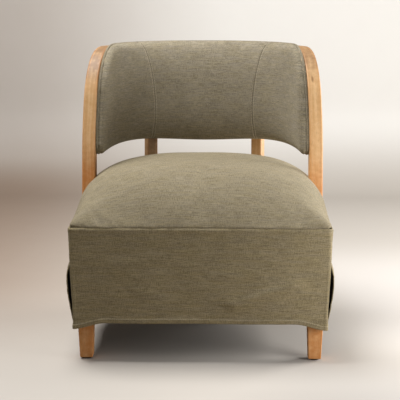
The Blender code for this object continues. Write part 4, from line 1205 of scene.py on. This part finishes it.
def crown_rise(seat, outline, x, depth):
    """Rise of the crowned seat above its seam at plan points."""
    edge_angle = np.arctan2(outline.points[:, 0], seat.centre - outline.points[:, 1])
    angle = np.arctan2(np.abs(x), seat.centre - depth)
    edge = [np.interp(angle, edge_angle, column) for column in outline.points.T]
    edge[1] = edge[1] - seat.centre
    share = np.clip(np.hypot(x, depth - seat.centre) / np.hypot(*edge), 0.0, 1.0)
    deep = np.where(edge[1] < 0.0, seat.centre, outline.back_depth - seat.centre)
    spread = np.abs(edge[0] / outline.half) ** seat.corners + np.abs(edge[1] / deep) ** seat.corners
    pull = spread ** (-1.0 / seat.corners)
    low, high = np.zeros_like(share), np.ones_like(share)
    for _ in range(HALVINGS):
        radius = 0.5 * (low + high)
        outer = radius ** CORNER_POWER
        inside = radius * (outer + (1.0 - outer) * pull) < share
        low, high = np.where(inside, radius, low), np.where(inside, high, radius)
    front, beside = np.maximum(0.0, seat.centre - depth) / seat.centre, x / outline.half
    ahead = front ** 2 / (front ** 2 + beside ** 2 + 1e-6)
    flatness = seat.flatness + (seat.front_flatness - seat.flatness) * ahead
    shoulder = seat.shoulder + (seat.front_shoulder - seat.shoulder) * ahead
    return seat.crown * (1.0 - high ** flatness) ** (1.0 / shoulder)


class CHAIR_OT_seat(bpy.types.Operator):
    """Crowned, stuffed linen seat with room for the posts"""
    bl_idname = "barrel_chair.seat"
    bl_label = "Seat"
    GATHER_SCALE, GATHER_SEED, GATHER_REACH = 52.0, 5.0, 0.016
    HOLLOW, HOLLOW_SCALE, HOLLOW_SEED, HOLLOW_RISE = 0.0016, 8.0, 1.0, 0.05
    TUCK, TUCK_RISE = 0.0020, 0.006  # how the seam draws the cover in
    CORNER_TUCK, CORNER_RISE, CORNER_REACH = 0.0055, 0.016, 0.035
    ROOM_SLOPE, ROOM_REACH = 4.0, -0.02  # how the cover comes back out beside a post
    TURN_IN, TURN_DOWN, BASE_IN = 0.005, 0.003, 0.008  # the edge turned under

    def execute(self, context):
        chair = settings()
        seat = chair.seat
        barrel = Barrel(chair)
        outline = Outline(chair, barrel)
        split = outline.length - outline.half

        def edge(run):
            return outline.at(run)[0]

        def place(u, v):
            s = np.sin(0.5 * math.pi * (2.0 * u - 1.0))
            t = 0.5 + 0.5 * np.sin(0.5 * math.pi * (2.0 * v - 1.0))
            way = np.sign(s)[:, None] * [1.0, 0.0] + [0.0, 1.0]
            front = edge(outline.corner_run * np.abs(s)) * way
            rear = edge(outline.length - (outline.length - split) * np.abs(s)) * way
            flank = edge(outline.corner_run + (split - outline.corner_run) * t)
            share = t[:, None]
            front_corner, rear_corner = edge(np.array([outline.corner_run, split]))
            lofted = (1.0 - share) * front + share * rear
            chord = (1.0 - share) * front_corner + share * rear_corner
            plan = lofted + s[:, None] * ((flank - chord) * [1.0, 0.0])
            plan = plan + np.abs(s)[:, None] * ((flank - chord) * [0.0, 1.0])
            x, depth = plan.T
            rise = crown_rise(seat, outline, x, depth)
            spots = np.stack([x, depth + barrel.front, seat.seam + rise], axis=-1)
            y = depth - seat.centre
            down_side = seat.crown - crown_rise(seat, outline, x, np.full_like(x, seat.centre))
            down_front = seat.crown - crown_rise(seat, outline, np.zeros_like(x), depth)
            return spots, threads_of(x + np.sign(x) * down_side, y + np.sign(y) * down_front)

        shape, flat = net(seat.columns, seat.rows, place)
        face_out(shape, (0.0, barrel.front + seat.centre, 0.2))
        obj = piece("seat_cushion", shape, [ready("olive_linen", linen)])
        border = np.minimum(to_end(flat[:, 0]), to_end(flat[:, 1]))
        settle(obj, border < 0.5 / max(seat.columns, seat.rows), seat.swell)
        refine(obj)
        self.tailor(obj, chair, barrel, outline)
        self.close(obj, seat, barrel)
        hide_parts("seat_cover", "seat_foam")
        return {"FINISHED"}

    def tailor(self, obj, chair, barrel, outline):
        """Gathers along the seam, a soft unevenness, and room round the posts."""
        seat = chair.seat
        points = points_of(obj.data)
        normals = normals_of(obj.data)
        rise = points[:, 2] - seat.seam
        gathers = seat.pucker * drift(points, self.GATHER_SCALE, self.GATHER_SEED)
        gathers = gathers * np.exp(-np.maximum(rise, 0.0) / self.GATHER_REACH)
        hollows = self.HOLLOW * drift(points, self.HOLLOW_SCALE, self.HOLLOW_SEED)
        hollows = hollows * smooth(rise / self.HOLLOW_RISE)
        points += normals * (gathers + hollows)[:, None]
        inward = np.stack([-points[:, 0], barrel.front + seat.centre - points[:, 1],
                           np.zeros(len(points))], axis=-1)
        inward /= np.linalg.norm(inward, axis=1, keepdims=True) + 1e-9
        to_corner = np.hypot(outline.half - np.abs(points[:, 0]), points[:, 1] - barrel.front)
        at_corner = np.exp(-(to_corner / self.CORNER_REACH) ** 2)
        tuck = self.TUCK * closeness(rise, self.TUCK_RISE) ** 2
        tuck += self.CORNER_TUCK * closeness(rise, self.CORNER_RISE) ** 1.5 * at_corner
        points += inward * tuck[:, None]
        self.make_room(points, chair, barrel)
        move_points(obj, points)

    def make_room(self, points, chair, barrel):
        """Draws the cover in round the posts."""
        hoop, seat = chair.hoop, chair.seat
        for run, width in ((barrel.post_run, hoop.width), (barrel.rear_post_run, hoop.rear_width)):
            for side in (-1, 1):
                x, y, nx, ny = (float(value) for value in barrel.plan(side * run))
                lean = chair.barrel.rake * np.maximum(0.0, points[:, 2] - chair.barrel.rake_from)
                dx, dy = points[:, 0] - x, points[:, 1] - barrel.front - lean - y
                out = dx * nx + dy * ny
                beside = np.abs(dx * -ny + dy * nx) - width / 2 - seat.ease
                limit = -seat.ease + self.ROOM_SLOPE * np.maximum(0.0, beside)
                pull = np.maximum(0.0, out - limit) * (out > self.ROOM_REACH)
                points[:, 0] -= nx * pull
                points[:, 1] -= ny * pull

    def close(self, obj, seat, barrel):
        """Turns the edge under and closes the seat below."""
        shape = opened(obj)
        centre = Vector((0.0, barrel.front + seat.centre, 0.0))
        turns = ((self.TURN_IN, seat.seam - self.TURN_DOWN), (self.BASE_IN, seat.bottom))
        for draw_in, level in turns:
            border = [edge for edge in shape.edges if edge.is_boundary]
            made = bmesh.ops.extrude_edge_only(shape, edges=border)
            for item in made["geom"]:
                if isinstance(item, bmesh.types.BMVert):
                    way = (item.co - centre) * Vector((1.0, 1.0, 0.0))
                    item.co -= way.normalized() * draw_in
                    item.co.z = level
        border = [edge for edge in shape.edges if edge.is_boundary]
        bmesh.ops.holes_fill(shape, edges=border, sides=0)
        put_back(shape, obj)


# Skirt
class CHAIR_OT_skirt(bpy.types.Operator):
    """Lined linen skirt: front, side and back panels with turned hems"""
    bl_idname = "barrel_chair.skirt"
    bl_label = "Skirt"
    ROWS, FRONT_COLUMNS, SIDE_COLUMNS, BACK_COLUMNS = 84, 190, 84, 180
    ROW_SHARES, HEIGHT_SHARES = (0.0, 0.22, 0.86, 1.0), (0.0, 0.11, 0.945, 1.0)
    SEAM_GAP, PANEL_GAP = 0.0003, 0.00015  # under the seat, and at each end of a panel
    TURN_UP = 0.015  # cloth turned up inside the hem
    HEM_LAYER, HEM_STEP = 0.0016, 0.0025  # second layer of the hem, and the width of its step
    HEM_ROUND, HEM_ROUND_WIDTH = 0.0012, 0.0022
    SLIT_LAYER, SLIT_BAND, SLIT_ROUND_WIDTH, SLIT_FADE = 0.0008, 0.0105, 0.002, 0.03
    ROLL, ROLL_DROP, ROLL_WIDTH = 0.0009, 0.0065, 0.0045  # roll under the seam
    TUCK, TUCK_WIDTH = 0.0026, 0.0055  # how the seam draws the cloth in
    WRINKLES = ((0.0008, 1.0, 2.0), (0.0004, 2.3, 3.0))  # height, scale and seed
    GATHER, GATHER_SCALE, GATHER_REACH = 0.0007, 46.0, 0.022
    SIDE_DRAW_REACH = 0.15
    FRONT_SEED, SIDE_SEED, BACK_SEED = 2.0, 6.0, 11.0
    # Start and end of a crease across and up the front panel, and its height
    CREASES = ((0.050, 0.152, 0.275, 0.224, 0.0080), (-0.20, 0.205, -0.06, 0.168, 0.0016),
               (0.010, 0.232, 0.190, 0.243, 0.0020), (-0.26, 0.268, -0.14, 0.262, 0.0014),
               (0.010, 0.178, 0.110, 0.196, 0.0018))
    CREASE_ABOVE, CREASE_BELOW, CREASE_START, CREASE_END = 0.008, 0.024, 0.04, 0.05

    def execute(self, context):
        chair = settings()
        self.skirt = chair.skirt
        self.top = chair.seat.seam - self.SEAM_GAP
        self.barrel = Barrel(chair)
        self.outline = Outline(chair, self.barrel)
        back_half = self.outline.length - self.outline.side_end
        side_length = self.outline.side_end - self.outline.corner_run
        tall = chair.seat.seam - self.skirt.hem + self.TURN_UP
        self.panel("front", self.front, self.FRONT_COLUMNS, (2.0 * self.outline.corner_run, tall))
        for side, label in SIDES:
            self.panel(label, lambda u, v: self.flank(side, u, v), self.SIDE_COLUMNS,
                       (side_length, tall))
        self.panel("back", self.back, self.BACK_COLUMNS, (2.0 * back_half, tall))
        return {"FINISHED"}

    def panel(self, label, place, columns, flat_size):
        """One hanging panel, with its lining, painted near black for shade, and its hem's stitches."""
        shape, _ = net(columns, self.ROWS, place)
        face_out(shape, (0.0, self.barrel.front + 0.25, 0.23))
        obj = piece("skirt_%s_linen" % label, shape,
                    [ready("olive_linen", linen), ready("skirt_lining", lining)])
        thicken(obj, self.skirt.cloth).material_offset = 1
        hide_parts("skirt_" + label)
        sewn = self.sew_hem(label, obj, place, np.linspace(0.004, 0.996, 4 * columns))

    def sew_hem(self, label, obj, place, u):
        """A row of stitches just under the upper edge of the hem's band."""
        found = np.array([place(u, np.full_like(u, v))[0] for v in np.linspace(0.0, 0.2, 41)])
        over = found[:, :, 2] - found[0, :, 2]
        level = self.skirt.hem_band - self.HEM_STEP
        line = np.array([on_path(level, over[:, k], found[:, k]) for k in range(len(u))])
        ways = np.array([obj.closest_point_on_mesh(Vector(spot))[2] for spot in line])
        shape = bmesh.new()
        stitches(shape, line, ways, self.skirt.stitch, self.skirt.thread)
        return piece("skirt_%s_stitches" % label, shape, [ready("linen_thread", thread)])

    def heights(self, v, low):
        """Heights with closer rows at the hem and under the seam."""
        return low + (self.top - low) * np.interp(v, self.ROW_SHARES, self.HEIGHT_SHARES)

    def hem(self, distance):
        """Height of the hem at distances from an open corner."""
        skirt = self.skirt
        return skirt.hem - skirt.hem_dip * smooth(1.0 - distance / skirt.hem_dip_reach)

    def slit(self, height):
        """0 where the corners open, 1 at the hem."""
        skirt = self.skirt
        return np.clip((skirt.slit_top - height) / (skirt.slit_top - skirt.hem), 0.0, 1.0)

    def fall(self, height):
        """0 at the seam, 1 at the hem."""
        return np.clip((self.top - height) / (self.top - self.skirt.hem), 0.0, 1.0)

    def folds(self, fraction, count, height):
        wave = 0.5 - 0.5 * np.cos(math.tau * count * fraction)
        return self.skirt.fold * self.fall(height) ** 1.5 * wave

    def relief(self, run, height, low, free, seed):
        """How far the cloth stands out: hem, slit edges, the roll under the seam and uneven ripples.

        free is the distance to an open edge.
        """
        skirt = self.skirt
        over, under = height - low, self.top - height
        out = self.HEM_LAYER * smooth((skirt.hem_band - over) / self.HEM_STEP)
        out -= self.HEM_ROUND * closeness(over, self.HEM_ROUND_WIDTH) ** 2
        open_edge = smooth((skirt.slit_top - height) / self.SLIT_FADE)
        out += self.SLIT_LAYER * smooth((self.SLIT_BAND - free) / self.HEM_STEP) * open_edge
        out -= self.SLIT_LAYER * closeness(free, self.SLIT_ROUND_WIDTH) ** 2 * open_edge
        out += self.ROLL * np.exp(-((under - self.ROLL_DROP) / self.ROLL_WIDTH) ** 2)
        out -= self.TUCK * closeness(under, self.TUCK_WIDTH) ** 2

        def noise_at(across, up, scale, seed):
            places = np.stack([run * across, height * up, np.zeros_like(run)], axis=-1)
            return drift(places, scale, seed)

        out += skirt.ripple * self.fall(height) * noise_at(1.0, 0.45, 9.0, seed)
        for size, scale, number in self.WRINKLES:
            out += size * noise_at(16.0, 60.0, scale, seed + number)
        gathers = noise_at(1.0, 0.2, self.GATHER_SCALE, seed + 4.0)
        return out + self.GATHER * gathers * np.exp(-under / self.GATHER_REACH)

    def crease(self, x, height):
        """Faint slanting creases in the front panel."""
        out = np.zeros_like(x)
        for x0, z0, x1, z1, size in self.CREASES:
            way = np.array([x1 - x0, z1 - z0])
            long = np.hypot(*way)
            along = ((x - x0) * way[0] + (height - z0) * way[1]) / long
            beside = ((x - x0) * -way[1] + (height - z0) * way[0]) / long
            window = smooth(along / self.CREASE_START) * smooth((long - along) / self.CREASE_END)
            width = np.where(beside > 0.0, self.CREASE_ABOVE, self.CREASE_BELOW)
            out += size * window * np.exp(-(beside / width) ** 2)
        return out

    def lay(self, run, low, height, waves, sign, seed, free):
        """Plan points and threads of a panel that follows the outline."""
        point, out = self.outline.at(run)
        stand = waves + self.relief(sign * run, height, low, free, seed)
        return point + out * stand[:, None], threads_of(sign * run, height, -1.0)

    def spots(self, x, depth, height):
        return np.stack([x, depth + self.barrel.front, height], axis=-1)

    def front(self, u, v):
        a = 2.0 * u - 1.0
        limit = self.outline.corner_run - self.PANEL_GAP
        straight = self.outline.half - self.skirt.corner
        run = np.interp(np.abs(a), [0.0, 0.92, 1.0], [0.0, straight, limit])
        low = self.hem(limit - run)
        height = self.heights(v, low)
        sign = np.where(a < 0.0, -1.0, 1.0)
        waves = self.folds(0.5 * np.abs(a), self.skirt.front_folds, height)
        waves = waves + self.crease(sign * run, height)
        spot, threads = self.lay(run, low, height, waves, sign, self.FRONT_SEED, limit - run)
        tuck = self.skirt.slit_tuck * smooth(self.slit(height)) * np.abs(a) ** 3
        return self.spots(sign * np.maximum(0.0, spot[:, 0] - tuck), spot[:, 1], height), threads

    def flank(self, side, u, v):
        start = self.outline.corner_run + self.PANEL_GAP
        bend_end = start + self.skirt.corner * math.pi / 4
        end = self.outline.side_end - self.PANEL_GAP
        run = np.interp(u, [0.0, 0.10, 1.0], [start, bend_end, end])
        low = self.hem(run - start)
        height = self.heights(v, low)
        opening = self.slit(height)
        flare = self.skirt.slit_flare * np.sin(math.pi * opening ** 0.7)
        flare = flare * smooth(1.0 - (run - start) / self.skirt.slit_flare_reach)
        draw = self.skirt.side_draw * self.fall(height) ** 1.5
        draw = draw * smooth((end - run) / self.SIDE_DRAW_REACH)
        waves = flare - draw + self.folds(u, self.skirt.side_folds, height)
        point, out = self.outline.at(run)
        loose = smooth(4.0 * opening)[:, None] * (run < bend_end)[:, None]
        ahead = np.stack([np.full_like(run, self.outline.half), self.skirt.corner - (bend_end - run)],
                         axis=-1)
        point = point + (ahead - point) * loose
        out = out + (np.array([1.0, 0.0]) - out) * loose
        stand = waves + self.relief(run, height, low, run - start, self.SIDE_SEED + side)
        x = point[:, 0] + np.abs(out[:, 0]) * stand
        depth = point[:, 1] + np.maximum(0.0, out[:, 1]) * stand
        return self.spots(side * x, depth, height), threads_of(side * run, height, -1.0)

    def back(self, u, v):
        a = 2.0 * u - 1.0
        start = self.outline.side_end + self.PANEL_GAP
        run = self.outline.length + (start - self.outline.length) * np.abs(a)
        low = np.full_like(run, self.skirt.hem)
        height = self.heights(v, low)
        sign = np.where(a < 0.0, -1.0, 1.0)
        waves = self.folds(0.5 + 0.5 * np.abs(a), self.skirt.back_folds, height)
        spot, threads = self.lay(run, low, height, waves, sign, self.BACK_SEED, np.full_like(run, 1.0))
        return self.spots(sign * spot[:, 0], spot[:, 1], height), threads


# Parts that keep their solids
FINISHES = (
    (beech, "frame_beech", ("front_rail", "curved_seat_rail", "corner_block", "dowel")),
    (plywood, "bent_plywood", ("back_shell",)),
    (webbing, "jute_webbing", ("webbing",)),
    (cambric, "black_cambric", ("dust_cover",)),
    (steel, "zinc_steel", ("bolt", "screw")),
    (nylon, "glide_nylon", ("glide",)),
)


class CHAIR_OT_inside(bpy.types.Operator):
    """Finishes for the frame, webbing, fasteners and glides"""
    bl_idname = "barrel_chair.inside"
    bl_label = "Frame and fittings"

    def execute(self, context):
        for obj in [item for item in bpy.context.scene.objects if "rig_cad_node" in item]:
            node = obj["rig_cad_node"]
            for make, name, words in FINISHES:
                if any(word in node for word in words):
                    material = ready(name, make)
                    for slot in obj.material_slots:
                        slot.material = material
        return {"FINISHED"}


# Stage
class CHAIR_OT_stage(bpy.types.Operator):
    """Pale floor and backdrop, soft lights and the camera"""
    bl_idname = "barrel_chair.stage"
    bl_label = "Stage"
    # Place and size of each lamp
    LAMPS = {"top": ((-0.85, 0.0, 2.88), 1.6), "side": ((2.46, 0.66, 1.0), 1.4),
             "fill": ((-0.8, -1.6, 2.4), 1.2), "card": ((0.8, -0.6, 0.3), 0.4)}
    LAMP_COLOUR, AIM = (1.0, 0.98, 0.95), (0.0, 0.0, 0.45)
    FLOOR_DEPTH, FLOOR_END, WIDTH, BEND, WALL = 8.0, 2.0, 12.0, 0.4, 2.6

    def execute(self, context):
        look = settings().stage
        scene = context.scene
        scene.view_settings.view_transform = "Standard"
        self.backdrop(look)
        for name, (place, size) in self.LAMPS.items():
            self.lamp(name, getattr(look, name), place, size)
        scene.world = self.surroundings(look)
        scene.camera = self.viewer(look)
        return {"FINISHED"}

    def surroundings(self, look):
        """Faint warm light from all sides, and a pale room for the camera and for reflections."""
        world = bpy.data.worlds.new("studio")
        world.use_nodes = True
        world.node_tree.nodes.clear()
        wires = Wire(world.node_tree)
        seen = (wires.node("LightPath", out="Is Camera Ray")
                + wires.node("LightPath", out="Is Glossy Ray"))
        shade = seen.blend(rgba((1.0, 0.86, 0.70)), rgba((0.86, 0.84, 0.81)))
        strength = look.world + (1.0 - look.world) * seen
        shine = wires.node("Background", None, {"Color": shade, "Strength": strength})
        wires.node("OutputWorld", None, {"Surface": shine})
        return world

    def viewer(self, look):
        camera = bpy.data.cameras.new("camera")
        camera.lens = look.lens
        camera.sensor_width = 36.0
        obj = added("camera", camera)
        obj.location = Vector(look.camera) + Vector((0.0, Barrel(settings()).front, 0.0))
        obj.rotation_euler = (math.pi / 2 - look.tilt, 0.0, look.turn)
        return obj

    def backdrop(self, look):
        """One sheet: floor, a wide bend and a wall."""
        arc = self.BEND * math.pi / 2

        def place(u, v):
            run = v * (self.FLOOR_DEPTH + arc + self.WALL) - self.FLOOR_DEPTH
            turn = np.clip(run / self.BEND, 0.0, math.pi / 2)
            y = self.FLOOR_END + np.minimum(run, 0.0) + self.BEND * np.sin(turn)
            z = self.BEND * (1.0 - np.cos(turn)) + np.maximum(0.0, run - arc)
            return np.stack([(u - 0.5) * self.WIDTH, y, z], axis=-1), threads_of(u, v)

        shape, _ = net(8, 200, place)
        face_out(shape, (0.0, 0.0, -40.0))
        obj = added("backdrop", shaped("backdrop", shape))
        obj.data.materials.append(self.paper(look))

    def paper(self, look):
        """Painted paper that can be looked through from behind: painted shade towards the left and near
        the reflector lamp, and painted light right of the chair.
        """
        material, wires = start_material("painted_paper")
        ground = wires.place()
        x, y, z = ground.parts()
        tooth = ground.grains((9.0, 9.0, 9.0), 3.0)
        # Painted shade on the floor near the reflector lamp, and painted light to the right of the
        # chair, over its shadow.
        near = x.step(-0.1, 0.55) * (1.0 - y.step(-0.6, -0.05))
        far = x.step(0.2, 0.5) * y.step(-0.35, 0.0) * (1.0 - y.step(0.4, 1.2))
        floor = far.blend(near.blend(rgba(look.floor), rgba(look.near)), rgba(look.far))
        light_side = z.step(0.0, 0.35).blend(floor, rgba(look.wall))
        # Painted shade on floor and backdrop towards the left.
        dark = (0.0 - x).step(-0.2, 1.0) * y.step(-0.6, 0.5) * (1.0 - 0.45 * z.step(0.0, 0.15))
        shade = (dark + 0.04 * (tooth - 0.5)).blend(light_side, rgba(look.shade))
        seen = wires.node("LightPath", out="Is Camera Ray")
        paper = wires.node("BsdfPrincipled", None,
                           {"Base Color": seen.blend(rgba(look.bounce), shade),
                            "Roughness": 0.9 + 0.05 * tooth, "Specular IOR Level": 0.1})
        behind = wires.node("NewGeometry", out="Backfacing")
        clear = wires.node("BsdfTransparent")
        front_only = wires.node("MixShader", None, {0: behind, 1: paper, 2: clear})
        wires.node("OutputMaterial", None, {"Surface": front_only})
        return material

    def lamp(self, name, power, place, size):
        light = bpy.data.lights.new(name, "AREA")
        light.energy = power
        light.size = size
        light.color = self.LAMP_COLOUR
        obj = added(name, light)
        obj.location = place
        obj.rotation_euler = (Vector(self.AIM) - Vector(place)).to_track_quat("-Z", "Y").to_euler()


OPERATORS = (CHAIR_OT_stage, CHAIR_OT_hoop, CHAIR_OT_legs, CHAIR_OT_back_pad, CHAIR_OT_outside_back,
             CHAIR_OT_seat, CHAIR_OT_skirt, CHAIR_OT_inside)


class CHAIR_PT_sidebar(bpy.types.Panel):
    """The chair's pieces"""
    bl_label = "Barrel chair"
    bl_idname = "CHAIR_PT_sidebar"
    bl_space_type = "VIEW_3D"
    bl_region_type = "UI"
    bl_category = "Barrel chair"

    def draw(self, context):
        for operator in OPERATORS:
            self.layout.operator(operator.bl_idname)
        for key, group in GROUPS.items():
            box = self.layout.box()
            box.label(text=key.capitalize())
            for name in group.__annotations__:
                box.prop(getattr(settings(), key), name)


CLASSES = (*GROUPS.values(), ChairSettings, *OPERATORS, CHAIR_PT_sidebar)


def register():
    for item in CLASSES:
        bpy.utils.register_class(item)
    bpy.types.Scene.barrel_chair = PointerProperty(type=ChairSettings, name="Barrel chair",
                                                   description="Sizes and colours of the chair")


def unregister():
    del bpy.types.Scene.barrel_chair
    for item in reversed(CLASSES):
        bpy.utils.unregister_class(item)


def main():
    register()
    for operator in OPERATORS:
        group, name = operator.bl_idname.split(".")
        getattr(getattr(bpy.ops, group), name)()


if __name__ == "__main__":
    main()
